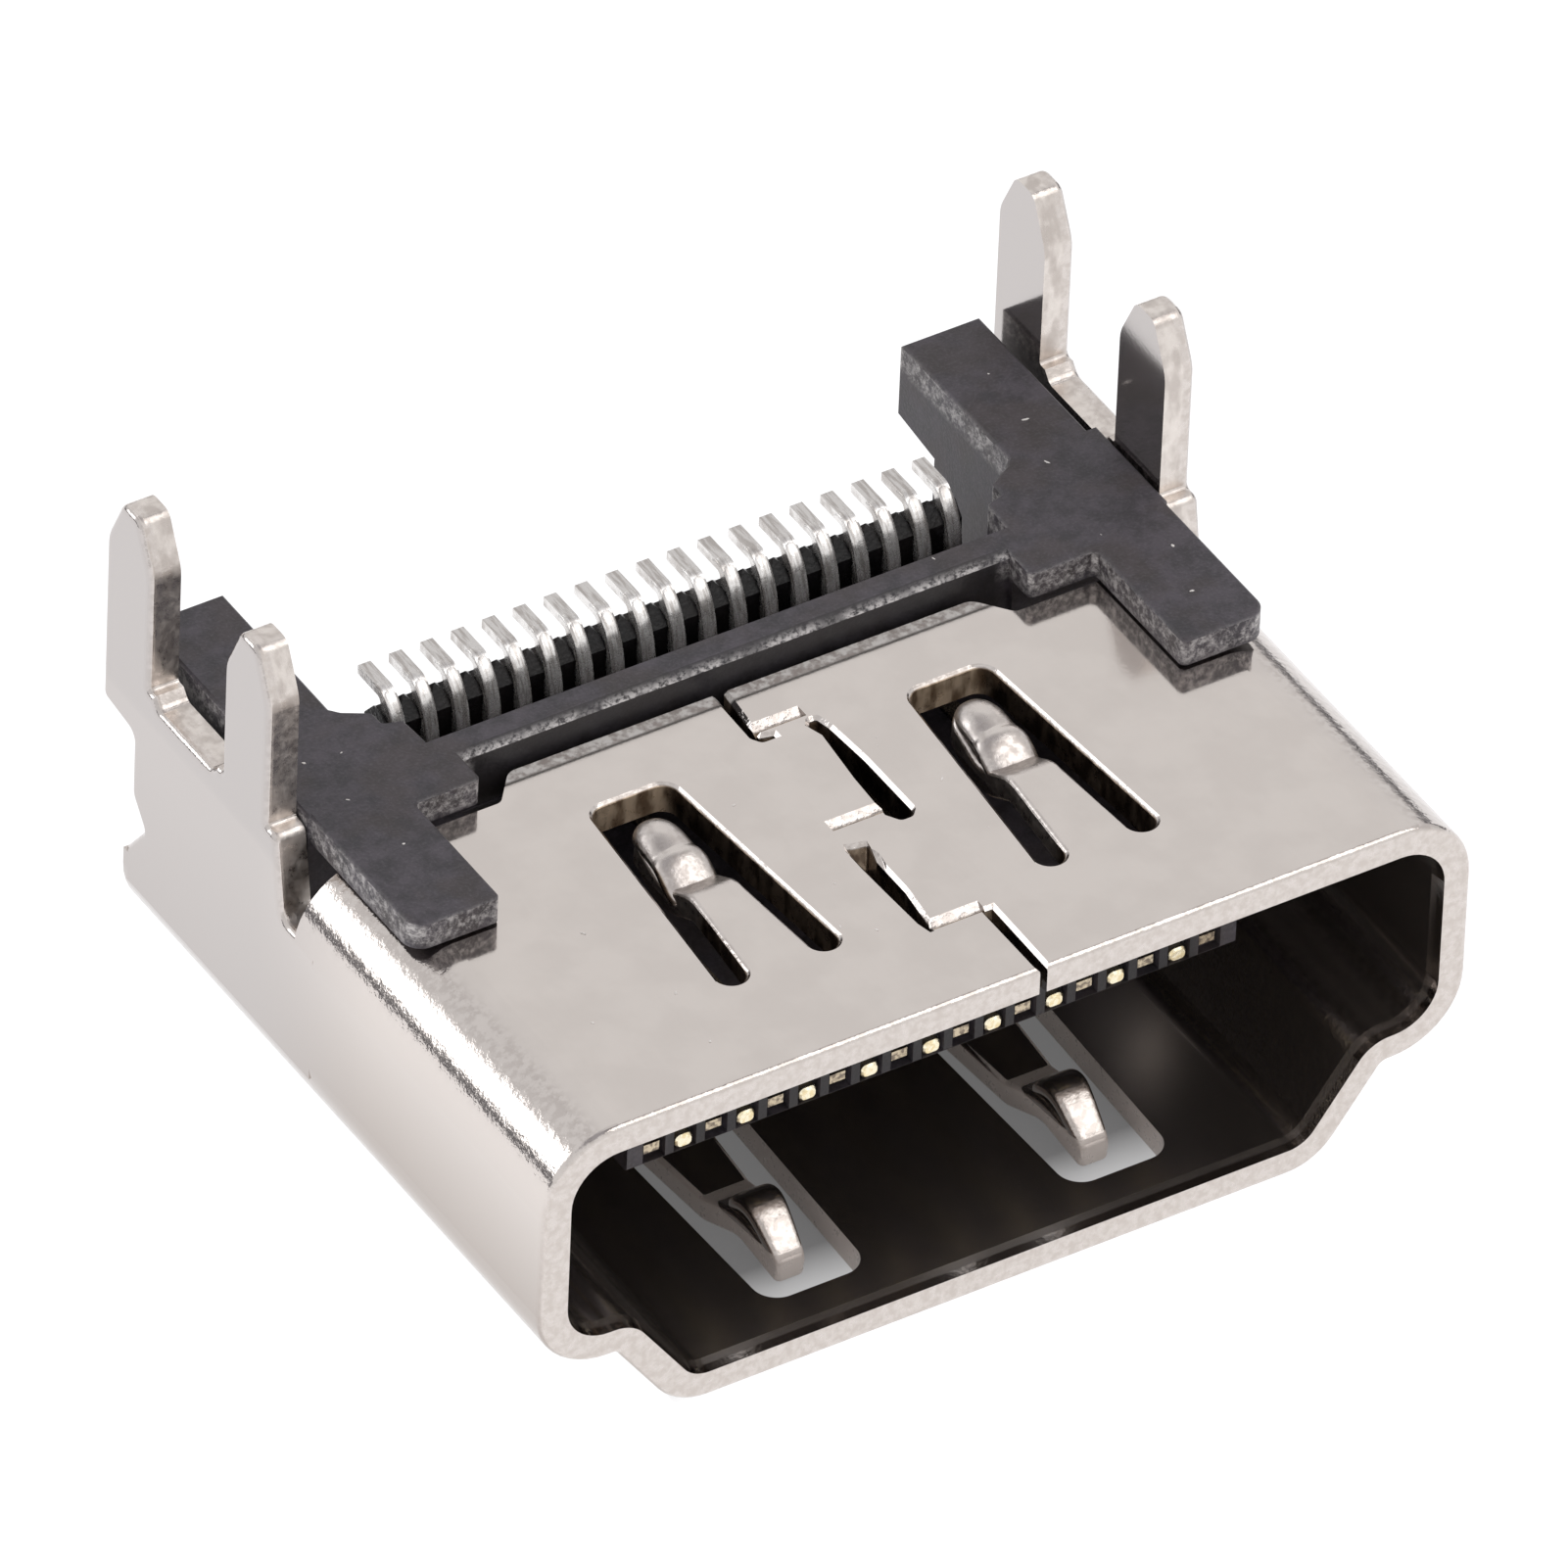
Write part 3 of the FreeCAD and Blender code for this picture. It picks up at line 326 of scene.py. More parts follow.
front = add(tree, STEP, {"Value": place[1], "From Min": RIM_FACE + BLUR, "From Max": RIM_FACE})
ahead = add(tree, STEP, {"Value": faces[1], "From Min": 0.6, "From Max": 0.9}, **SMOOTH)
rim = add(tree, MATH, {0: front, 1: ahead}, **TIMES)
cut = add(tree, MATH, {0: windows, 1: plates}, **LARGER)
cut = add(tree, MATH, {0: cut, 1: rim}, **LARGER)
print("nodes for where it was cut:", len(tree.nodes))

# %% Spring noses: within half their width of a finger's middle, and inside the mouth
FINGER_X = 2.52             # a finger's middle, from the shell's middle
FINGER_HALF = 0.44
NOSE_END = 5.60             # of the wide wall's noses, from the mouth
MOUTH_LIP = 0.8             # depth of the lip, which no finger reaches

off_finger = add(tree, MATH, {0: side, 1: FINGER_X}, **LESS)
off_finger = add(tree, MATH, {0: off_finger}, **UNSIGNED)
on_finger = add(tree, STEP, {"Value": off_finger, "From Min": FINGER_HALF + 0.03, "From Max": FINGER_HALF})
sloped = add(tree, STEP, {"Value": faces[2], "From Min": 0.998, "From Max": 0.97}, **SMOOTH)
in_mouth = add(tree, STEP, {"Value": place[1], "From Min": MOUTH_LIP, "From Max": MOUTH_LIP + 0.1})
nose = add(tree, MATH, {0: on_finger, 1: sloped}, **TIMES)
nose = add(tree, MATH, {0: nose, 1: in_mouth}, **TIMES)
ahead_of_end = add(tree, STEP, {"Value": place[1], "From Min": NOSE_END + 0.1, "From Max": NOSE_END})
plated_nose = add(tree, MATH, {0: on_finger, 1: ahead_of_end}, **TIMES)

# the narrow wall's noses and windows, seen through the mouth
under = add(tree, MATH, {0: nose, 1: windows}, **LARGER)
under = add(tree, MATH, {0: low, 1: under}, **TIMES)
under = add(tree, MATH, {0: under, 1: in_mouth}, **TIMES)
print("nodes with the noses:", len(tree.nodes))

# %% Where a cut edge is torn instead of sheared
SEAM_HALF = 1.25            # the seam lies within this of the middle
SHEARED_WINDOW = 0.025      # depth of the bright band in a window's wall
SHEARED_SEAM = 0.06         # in the seam
SHEARED_PLATE = 0.16        # and in the edge of a side plate
TEAR_BLUR = 0.025           # over which the band turns to torn steel

off_seam = add(tree, STEP, {"Value": side, "From Min": SEAM_HALF, "From Max": SEAM_HALF + 0.05})
sheared_depth = add(tree, STEP, {"Value": off_seam, "To Min": SHEARED_SEAM, "To Max": SHEARED_WINDOW})
depth = add(tree, MATH, {0: SHELL_TOP, 1: place[2]}, **LESS)
depth = add(tree, MATH, {0: depth, 1: sheared_depth}, **LESS)
deep = add(tree, STEP, {"Value": depth, "From Max": TEAR_BLUR}, **SMOOTH)
steep = add(tree, STEP, {"Value": faces[2], "From Min": 0.95, "From Max": 0.88}, **SMOOTH)
torn = add(tree, MATH, {0: deep, 1: high}, **TIMES)
torn = add(tree, MATH, {0: torn, 1: steep}, **TIMES)
torn = add(tree, MATH, {0: torn, 1: inboard}, **TIMES)
torn = add(tree, MATH, {0: torn, 1: plated_nose}, use_clamp=True, **LESS)
inner = add(tree, STEP, {"Value": side, "From Min": SIDE_OUTER - SHEARED_PLATE,
                         "From Max": SIDE_OUTER - SHEARED_PLATE - 0.06}, **SMOOTH)
drawn = add(tree, MATH, {0: plates, 1: inner}, **TIMES)
print("nodes with the torn zones:", len(tree.nodes))

# %% The rolled rear edge, the side walls, the side plates and the inside
WALL_REAR = 6.98            # where the wide wall's rear edge starts to roll
BAR_HALF = 4.15             # half width of the edge that the bar leaves in sight
SIDE_SHADE_TOP = 4.8             # from here down to the height below, the side walls get painted shade
SIDE_SHADE_LOW = 1.8
LEG_FOOT = 4.7              # from here up to LEG_FULL the side plates' own tone sets in
LEG_FULL = 5.7
PLATE_FRONT = 4.0           # and from here back to PLATE_FULL
PLATE_FULL = 8.0

past_wall = add(tree, STEP, {"Value": place[1], "From Min": WALL_REAR - 0.05, "From Max": WALL_REAR})
above_wall = add(tree, STEP, {"Value": place[2], "From Min": CEILING, "From Max": CEILING + 0.2})
mid_wall = add(tree, STEP, {"Value": side, "From Min": BAR_HALF + 0.1, "From Max": BAR_HALF})
rear_edge = add(tree, MATH, {0: past_wall, 1: above_wall}, **TIMES)
rear_edge = add(tree, MATH, {0: rear_edge, 1: mid_wall}, **TIMES)

side_shade_towards_floor = add(tree, STEP, {"Value": place[2], "From Min": SIDE_SHADE_TOP, "From Max": SIDE_SHADE_LOW})
legs = add(tree, STEP, {"Value": place[2], "From Min": LEG_FOOT, "From Max": LEG_FULL}, **SMOOTH)
rear = add(tree, STEP, {
    "Value": place[1], "From Min": PLATE_FRONT, "From Max": PLATE_FULL, "To Max": 0.85}, **SMOOTH)
plate_share = add(tree, MATH, {0: legs, 1: rear}, **LARGER)

below_ceiling = add(tree, STEP, {"Value": place[2], "From Min": CEILING + 0.05, "From Max": CEILING})
inside = add(tree, STEP, {"Value": side, "From Min": SIDE_INNER + 0.05, "From Max": SIDE_INNER})
inside = add(tree, MATH, {0: inside, 1: behind}, **TIMES)
inside = add(tree, MATH, {0: inside, 1: below_ceiling}, **TIMES)
print("nodes with all masks:", len(tree.nodes))

# %% Its patterns, with feature sizes in mm
# Real plating grain is finer than 0.02 mm, and is drawn coarser, so that it shows.
TONE_PATCH = 0.9
STREAK = 0.05
STREAK_LENGTH = 14          # times its width, along the fold
GRAIN = 0.06
PEEL = 0.12
CHIP = 0.14
TEAR = 0.22
TEAR_LENGTH = 2.5           # times its width, through the sheet

tone = add(tree, NOISE, {"Vector": at, "Scale": 1 / TONE_PATCH, "Detail": 4})
along_fold = add(tree, VECTOR, {0: at, 1: (1, 1 / STREAK_LENGTH, 1 / STREAK_LENGTH)}, **TIMES)
streak = add(tree, NOISE, {"Vector": along_fold, "Scale": 1 / STREAK, "Detail": 2})
grain = add(tree, NOISE, {"Vector": at, "Scale": 1 / GRAIN, "Detail": 3})
peel = add(tree, NOISE, {"Vector": at, "Scale": 1 / PEEL, "Detail": 3, "Roughness": 0.6})
chips = add(tree, NOISE, {"Vector": at, "Scale": 1 / CHIP, "Detail": 4, "Roughness": 0.65})
through_sheet = add(tree, VECTOR, {0: at, 1: (1, 1, 1 / TEAR_LENGTH)}, **TIMES)
tears = add(tree, NOISE, {"Vector": through_sheet, "Scale": 1 / TEAR, "Detail": 3})

tone_share = add(tree, STEP, {"Value": tone, **SPAN}, **SMOOTH)
streak_share = add(tree, MATH, {0: streak, 1: 0.06}, **TIMES)
dull_share = add(tree, STEP, {"Value": peel, "From Min": 0.40, "From Max": 0.60, "To Max": 0.6}, **SMOOTH)
dull_share = add(tree, MATH, {0: dull_share, 1: bends}, **TIMES)
chip_share = add(tree, STEP, {"Value": chips, "From Min": 0.38, "From Max": 0.62}, **SMOOTH)
tear_share = add(tree, STEP, {"Value": tears, "From Min": 0.36, "From Max": 0.64}, **SMOOTH)
print("nodes with the patterns:", len(tree.nodes))

# %% Colour of the plated faces
DULL_NICKEL = linear("#B4ABA6")

plated = add(tree, MIX, {"Factor": tone_share, "A": linear("#CEC7C2"), "B": linear("#D3CCC7")}, **COLOUR)
plated = add(tree, MIX, {"Factor": streak_share, "A": plated, "B": DULL_NICKEL}, **COLOUR)
plated = add(tree, MIX, {"Factor": dull_share, "A": plated, "B": linear("#A69D97")}, **COLOUR)
# painted shade: the side walls' tone darkens towards the floor
side_tone_with_painted_shade = add(tree, MIX, {"Factor": side_shade_towards_floor, "A": linear("#DCD5D0"), "B": linear("#ADA49E")}, **COLOUR)
side_tone_with_painted_shade = add(tree, MIX, {"Factor": plate_share, "A": side_tone_with_painted_shade, "B": linear("#C0BBB9")}, **COLOUR)
# painted shade: faces that look along X take the side walls' tone
plated = add(tree, MIX, {"Factor": faces[0], "A": plated, "B": side_tone_with_painted_shade}, **COLOUR)
worn_edge = add(tree, MIX, {"Factor": chip_share, "A": linear("#F2EEEA"), "B": DULL_NICKEL}, **COLOUR)
plated = add(tree, MIX, {"Factor": rear_edge, "A": plated, "B": worn_edge}, **COLOUR)
print("nodes with the plated colours:", len(tree.nodes))

# %% Colour of the cut edges, and of the whole shell
sheared = add(tree, MIX, {"Factor": chip_share, "A": linear("#D8D1CC"), "B": linear("#CDC5BF")}, **COLOUR)
# painted light and shade: torn faces that look along Y take the lighter colour, the others the darker one
torn_painted_light = add(tree, MIX, {"Factor": tear_share, "A": linear("#6B5744"), "B": linear("#C2AE97")}, **COLOUR)
torn_painted_shade = add(tree, MIX, {"Factor": tear_share, "A": linear("#3A3029"), "B": linear("#74665A")}, **COLOUR)
torn_with_painted_light = add(tree, MIX, {"Factor": faces[1], "A": torn_painted_shade, "B": torn_painted_light}, **COLOUR)
grey = add(tree, MIX, {"Factor": tear_share, "A": linear("#C6BEB8"), "B": linear("#E2DBD5")}, **COLOUR)
edge = add(tree, MIX, {"Factor": torn, "A": sheared, "B": torn_with_painted_light}, **COLOUR)
edge = add(tree, MIX, {"Factor": drawn, "A": edge, "B": grey}, **COLOUR)
edge = add(tree, MIX, {"Factor": under, "A": edge, "B": linear("#C4BAB4")}, **COLOUR)
edged = add(tree, MATH, {0: cut, 1: under}, **LARGER)
edged = add(tree, MATH, {0: edged, 1: torn}, **LARGER)
final = add(tree, MIX, {"Factor": edged, "A": plated, "B": edge}, **COLOUR)
print("nodes with the colours:", len(tree.nodes))

# %% Its roughness, and how much of it shines as metal
smooth = add(tree, STEP, {"Value": tone, **WIDE_SPAN, "To Min": 0.095, "To Max": 0.11})
rubbed = add(tree, STEP, {"Value": peel, **SPAN, "To Min": 0.26, "To Max": 0.40})
rough = add(tree, STEP, {"Value": chips, **SPAN, "To Min": 0.24, "To Max": 0.44})
smooth = add(tree, MIX, {"Factor": nose, "A": smooth, "B": rubbed})
smooth = add(tree, MIX, {"Factor": inside, "A": smooth, "B": 0.24})
wear_and_sheen = add(tree, MIX, {"Factor": edged, "A": smooth, "B": rough})

# what a rough place scatters doesn't shine as metal
scatter = add(tree, MATH, {0: torn, 1: faces[1]}, **TIMES)
scatter = add(tree, MATH, {0: scatter, 1: 0.5}, **TIMES)
scatter = add(tree, MATH, {0: rear_edge, 1: 0.70, 2: scatter}, **TIMES_PLUS)
scatter = add(tree, MATH, {0: under, 1: 0.75, 2: scatter}, **TIMES_PLUS)
metal = add(tree, MATH, {0: 1.0, 1: scatter}, use_clamp=True, **LESS)
print("nodes with the roughness:", len(tree.nodes))

# %% Its relief, and the finished material
NICKEL_RELIEF = 0.012       # in mm

fine = add(tree, MATH, {0: grain, 1: 0.03}, **TIMES)
relief = add(tree, MATH, {0: peel, 1: bends}, **TIMES)
relief = add(tree, MATH, {0: relief, 1: 0.6, 2: fine}, **TIMES_PLUS)
pits = add(tree, MATH, {0: edged, 1: rim}, use_clamp=True, **LESS)
pits = add(tree, MATH, {0: tears, 1: pits}, **TIMES)
relief = add(tree, MATH, {0: pits, 1: 0.45, 2: relief}, **TIMES_PLUS)
bump = add(tree, BUMP, {"Strength": 1.0, "Distance": NICKEL_RELIEF * MM, "Height": relief})
fill(tree, tree.nodes[SHADER], {"Base Color": final, "Roughness": wear_and_sheen, "Metallic": metal, "Normal": bump})
solids["shell"].data.materials[0] = nickel
print("nickel nodes:", len(tree.nodes))

# %% [markdown]
# ## Glass-filled nylon, moulded
# The housing is moulded in a black heat-proof nylon with glass fibres. The mould was eroded, so
# the surface is matte and looks charcoal where it mirrors the tent, with a soft purple and brown
# mottling from the fibres that reach the skin. The bevel along the bar and the wings' upright
# faces carry light grey specks, partly scuffs and partly a painted highlight. Between the wings,
# the faces that look along Y, the bar's own front among them, get painted shade, as the wall
# before the bar keeps the light away. The comb is the same black without the glass, from a
# polished mould, so it is darker with small sharp lights. Two flat blacks would do at a
# distance, but not here.

# %% Where the mouldings carry light specks: scuffs, and a painted highlight
SEAT = 6.05                 # top of the wings, the arms and the end blocks
BAR_SILL = 5.93             # where the bar's bevel ends at the top
BAR_FOOT = 5.68             # and at the bottom
WING_IN = 4.2               # how far from the middle the wings start
SCRAPE = 0.05               # feature sizes in mm
SCRAPE_LENGTH = 1.6         # times its width
RUB = 0.45
SCUFF_AND_HIGHLIGHT_PATCH = 0.13


def scuffs_and_highlight(tree, at, place, faces, wing, scuff_and_highlight):
    """Share of light specks, scuffs and painted highlight, on the bar's bevel and on the wings' upright
    faces, up to the given share.
    """
    along = add(tree, VECTOR, {0: at, 1: (1 / SCRAPE_LENGTH, 1 / SCRAPE_LENGTH, 1)}, **TIMES)
    scrape = add(tree, NOISE, {"Vector": along, "Scale": 1 / SCRAPE, "Detail": 3, "Roughness": 0.7})
    scrape = add(tree, STEP, {
        "Value": scrape, "From Min": 0.36, "From Max": 0.60, "To Max": scuff_and_highlight}, **SMOOTH)
    rubs = add(tree, NOISE, {"Vector": at, "Scale": 1 / RUB, "Detail": 2})
    rubs = add(tree, STEP, {"Value": rubs, "From Min": 0.38, "From Max": 0.52, "To Min": 0.3}, **SMOOTH)
    sill = add(tree, STEP, {"Value": place[2], "From Min": SEAT, "From Max": BAR_SILL}, **SMOOTH)
    foot = add(tree, STEP, {
        "Value": place[2], "From Min": BAR_FOOT, "From Max": BAR_FOOT + 0.18}, **SMOOTH)
    band = add(tree, MATH, {0: sill, 1: foot}, **TIMES)
    band = add(tree, MATH, {0: band, 1: bend_mask(tree, faces)}, **TIMES)
    band = add(tree, MATH, {0: band, 1: add(tree, MATH, {0: scrape, 1: rubs}, **TIMES)}, **TIMES)

    patch = add(tree, NOISE, {"Vector": at, "Scale": 1 / SCUFF_AND_HIGHLIGHT_PATCH, "Detail": 8, "Roughness": 0.8})
    patch = add(tree, STEP, {
        "Value": patch, "From Min": 0.42, "From Max": 0.66, "To Max": scuff_and_highlight * 0.8}, **SMOOTH)
    upright = add(tree, STEP, {"Value": faces[2], "From Min": 0.5, "From Max": 0.2})
    upright = add(tree, MATH, {0: upright, 1: wing}, **TIMES)
    upright = add(tree, MATH, {0: upright, 1: patch}, **TIMES)

    above_shell = add(tree, STEP, {"Value": place[2], "From Min": SHELL_TOP, "From Max": SHELL_TOP + 0.15})
    either = add(tree, MATH, {0: upright, 1: band}, **LARGER)
    return add(tree, MATH, {0: either, 1: above_shell}, **TIMES)


# %% Moulded plastics
CLOUD = 0.35                # feature sizes in mm
FIBRE = 0.05                # the fibres are 0.01 mm thick, and are drawn coarser to show
WARM_PATCH = 0.8
PLASTIC_RELIEF = 0.006


def moulded(name, dark, pale, roughness, scuff_and_highlight, gloss=0.5):
    """Black plastic, whose light specks of scuffs and painted highlight reach up to the share given for
    them.
    """
    made, tree, at, normal = start_material(name)
    faces = facing(tree, normal)
    place = add(tree, SPLIT, {0: at}).outputs
    side = add(tree, MATH, {0: place[0]}, **UNSIGNED)
    wing = add(tree, STEP, {"Value": side, "From Min": WING_IN, "From Max": WING_IN + 0.2})
    cloud = add(tree, NOISE, {"Vector": at, "Scale": 1 / CLOUD, "Detail": 5, "Roughness": 0.7})
    fibres = add(tree, NOISE, {"Vector": at, "Scale": 1 / FIBRE, "Detail": 2})
    warm = add(tree, NOISE, {"Vector": at, "Scale": 1 / WARM_PATCH, "Detail": 2})

    cloud_share = add(tree, STEP, {"Value": cloud, "From Min": 0.33, "From Max": 0.67}, **SMOOTH)
    warm_share = add(tree, STEP, {"Value": warm, "From Min": 0.45, "From Max": 0.62, "To Max": 0.4})
    flecks = add(tree, STEP, {"Value": fibres, "From Min": 0.50, "From Max": 0.72, "To Max": 0.16})
    # painted shade: between the wings, faces that look along Y are darkened towards black
    painted_lee_shade = add(tree, STEP, {"Value": wing, "To Min": 0.75, "To Max": 0.0})
    painted_lee_shade = add(tree, MATH, {0: faces[1], 1: painted_lee_shade}, **TIMES)
    wear_and_sheen = scuffs_and_highlight(tree, at, place, faces, wing, scuff_and_highlight)
    colour = add(tree, MIX, {"Factor": cloud_share, "A": linear(dark), "B": linear(pale)}, **COLOUR)
    colour = add(tree, MIX, {"Factor": warm_share, "A": colour, "B": linear("#3A312D")}, **COLOUR)
    colour = add(tree, MIX, {"Factor": flecks, "A": colour, "B": linear("#6F6C70")}, **COLOUR)
    colour = add(tree, MIX, {"Factor": painted_lee_shade, "A": colour, "B": linear("#0F0D0E")}, **COLOUR)
    # light specks: scuffs, and a painted highlight on the bar's bevel and the wings' upright faces
    colour = add(tree, MIX, {"Factor": wear_and_sheen, "A": colour, "B": linear("#C4C0BF")}, **COLOUR)

    rough = add(tree, STEP, {
        "Value": cloud, **WIDE_SPAN, "To Min": roughness - 0.05, "To Max": roughness + 0.05})
    relief = add(tree, MATH, {0: cloud, 1: 0.6, 2: fibres}, **TIMES_PLUS)
    bump = add(tree, BUMP, {"Strength": 1.0, "Distance": PLASTIC_RELIEF * MM, "Height": relief})
    fill(tree, tree.nodes[SHADER], {
        "Base Color": colour, "Roughness": rough, "Specular IOR Level": gloss, "Normal": bump})
    print(name, "nodes:", len(tree.nodes))
    return made


charcoal = moulded("glass_filled_nylon_moulded", "#2C292E", "#474249", roughness=0.50, scuff_and_highlight=0.95)
glossy = moulded("black_nylon_polished_mould", "#0B0A0B", "#161416",
                 roughness=0.30, scuff_and_highlight=0.10, gloss=0.25)
solids["housing"].data.materials[0] = charcoal
solids["tail_comb"].data.materials[0] = glossy

# %% [markdown]
# ## Copper strip, gold flash and tin
# A contact is stamped from copper-alloy strip. Its tip and blade carry a gold flash, its tail is
# tin plated for soldering. The even contacts' gold is a near-white lit copy, a painted highlight,
# and the odd ones' a darker copy, painted shade. The tin gets painted shade on its flat top and
# lower down between the comb's teeth, so it is brightest at the tail's sides. Two materials
# would need faces picked by hand, but where gold stops and tin starts depends only on the
# distance from the mouth, so both finishes are in one material, and the change is hidden
# inside the housing.

# %% Contact finishes
GOLD_ENDS = 8.0             # from the mouth, inside the housing
TIN_SHADE_TOP = 5.45           # heights between which the tin gets painted shade, darker further down
TIN_SHADE_LOW = 4.75
FLASH_PATCH = 0.08          # feature sizes in mm
WIPE = 0.04
WIPE_LENGTH = 8             # times its width, along the strip
STRIP_RELIEF = 0.004


def plated_strip(name, gold, shade):
    """Gold-flashed strip with a tin-plated tail. shade is the gold's darker tone."""
    made, tree, at, normal = start_material(name)
    faces = facing(tree, normal)
    place = add(tree, SPLIT, {0: at}).outputs
    tail = add(tree, STEP, {"Value": place["Y"], "From Min": GOLD_ENDS, "From Max": GOLD_ENDS + 0.1})
    patches = add(tree, NOISE, {"Vector": at, "Scale": 1 / FLASH_PATCH, "Detail": 3})
    along = add(tree, VECTOR, {0: at, 1: (1, 1 / WIPE_LENGTH, 1 / WIPE_LENGTH)}, **TIMES)
    wipe = add(tree, NOISE, {"Vector": along, "Scale": 1 / WIPE, "Detail": 2})
    patch_share = add(tree, STEP, {"Value": patches, "From Min": 0.42, "From Max": 0.62}, **SMOOTH)
    wipe_share = add(tree, STEP, {"Value": wipe, "From Min": 0.40, "From Max": 0.65}, **SMOOTH)
    # painted shade on the tin: greyer on flat tops and lower down between the comb's teeth
    top_painted_shade = add(tree, STEP, {"Value": faces[2], "From Min": 0.93, "From Max": 0.99, "To Max": 0.45})
    low_painted_shade = add(tree, STEP, {"Value": place["Z"], "From Min": TIN_SHADE_TOP, "From Max": TIN_SHADE_LOW,
                            "To Max": 0.8}, **SMOOTH)
    tin_painted_shade = add(tree, MATH, {0: top_painted_shade, 1: low_painted_shade}, **LARGER)

    flashed = add(tree, MIX, {"Factor": patch_share, "A": linear(gold), "B": linear(shade)}, **COLOUR)
    tinned = add(tree, MIX, {
        "Factor": wipe_share, "A": linear("#F4F2F0"), "B": linear("#C6C1BD")}, **COLOUR)
    tinned = add(tree, MIX, {"Factor": tin_painted_shade, "A": tinned, "B": linear("#8D8783")}, **COLOUR)
    colour = add(tree, MIX, {"Factor": tail, "A": flashed, "B": tinned}, **COLOUR)
    metal = add(tree, STEP, {"Value": tail, "To Min": 1.0, "To Max": 0.75})
    rough = add(tree, STEP, {"Value": patches, **WIDE_SPAN, "To Min": 0.20, "To Max": 0.34})
    bump = add(tree, BUMP, {"Strength": 1.0, "Distance": STRIP_RELIEF * MM, "Height": patches})
    fill(tree, tree.nodes[SHADER], {
        "Base Color": colour, "Roughness": rough, "Metallic": metal, "Normal": bump})
    print(name, "nodes:", len(tree.nodes))
    return made


# painted light: the even tips get a near-white lit copy of the gold, the odd ones a darker shaded copy
gold_painted_highlight = plated_strip("gold_flash_painted_highlight", "#FFF6DA", "#F0E0B6")
gold_painted_shade = plated_strip("gold_flash_painted_shade", "#CDBFA6", "#83786C")
for name, solid in solids.items():
    if name.startswith("contact"):
        is_even = int(name[-2:]) % 2 == 0
        solid.data.materials[0] = gold_painted_highlight if is_even else gold_painted_shade

# %% [markdown]
# ## Pressed noses
# The four spring fingers end in noses that a press gave a rounder form than plain bent sheet:
# the two in the wide wall have a bulge, a crease and a domed tip, and the two in the narrow wall
# have a crowned slope that faces the mouth. The solids carry the bends. Here each nose gets the
# pressed form as a thin skin on its sheet. A cage of a few rows, each with a place and a half
# width, is enough, because a Subdivision Surface modifier rounds it. Sculpting would give the
# same shape, but rows of numbers can be corrected one at a time against the photograph.

# %% Closed skin from rows of (y, z, half width, crown)
ACROSS = (-1.0, -0.6, 0.0, 0.6, 1.0)    # places of a row's points, times its half width


def closed_skin(cage, middle, outer, inner):
    """Adds a skin between two lines of rows. crown is how far a row's ends lie below its middle."""
    lines = []
    for rows in (outer, inner):
        lines.append([[cage.verts.new(((middle + u * half) * MM, y * MM, (z - crown * abs(u) ** 3) * MM))
                       for u in ACROSS] for y, z, half, crown in rows])
    top, low = lines
    ends = (0, -1)
    for j in range(len(top) - 1):
        for i in range(len(ACROSS) - 1):
            cage.faces.new((top[j][i], top[j][i + 1], top[j + 1][i + 1], top[j + 1][i]))
            cage.faces.new((low[j][i], low[j + 1][i], low[j + 1][i + 1], low[j][i + 1]))
        for i in ends:
            cage.faces.new((top[j][i], top[j + 1][i], low[j + 1][i], low[j][i]))
    for i in range(len(ACROSS) - 1):
        for j in ends:
            cage.faces.new((top[j][i], low[j][i], low[j][i + 1], top[j][i + 1]))


# %% From a cage to an object, and from a modified object to a plain mesh
def to_object(cage, name):
    """Mesh object from a cage, with its faces pointing outwards."""
    bmesh.ops.recalc_face_normals(cage, faces=cage.faces)
    mesh = bpy.data.meshes.new(name)
    cage.to_mesh(mesh)
    cage.free()
    mesh.polygons.foreach_set("use_smooth", [True] * len(mesh.polygons))
    made = bpy.data.objects.new(name, mesh)
    bpy.context.scene.collection.objects.link(made)
    return made


def plain_mesh(made):
    """Turns the evaluated shape into the object's own mesh, and removes the modifiers."""
    shape = bpy.data.meshes.new_from_object(made.evaluated_get(bpy.context.evaluated_depsgraph_get()))
    made.modifiers.clear()
    made.data = shape
    print(made.name, "faces:", len(shape.polygons))


# %% The four noses
WIDE_NOSE = (
    (3.96, 5.29, 0.38, 0.06), (4.08, 5.30, 0.41, 0.08), (4.22, 5.41, 0.43, 0.10),
    (4.42, 5.56, 0.425, 0.12), (4.56, 5.61, 0.40, 0.14), (4.65, 5.575, 0.375, 0.13),
    (4.74, 5.61, 0.37, 0.16), (4.96, 5.67, 0.37, 0.20), (5.18, 5.65, 0.35, 0.20),
    (5.35, 5.57, 0.26, 0.14), (5.43, 5.46, 0.14, 0.06),
)
NARROW_NOSE = (
    (2.70, 0.80, 0.34, 0.03), (2.46, 0.97, 0.335, 0.03), (2.24, 1.01, 0.32, 0.03),
    (2.06, 0.93, 0.30, 0.03), (1.86, 0.775, 0.28, 0.02), (1.66, 0.61, 0.26, 0.02),
    (1.52, 0.50, 0.24, 0.01), (1.47, 0.38, 0.23, 0.01),
)
WIDE_X = 2.60               # distance of the noses from the middle
NARROW_X = 2.47
WIDE_SKIN = 0.16            # thickness of the skins
NARROW_SKIN = 0.24

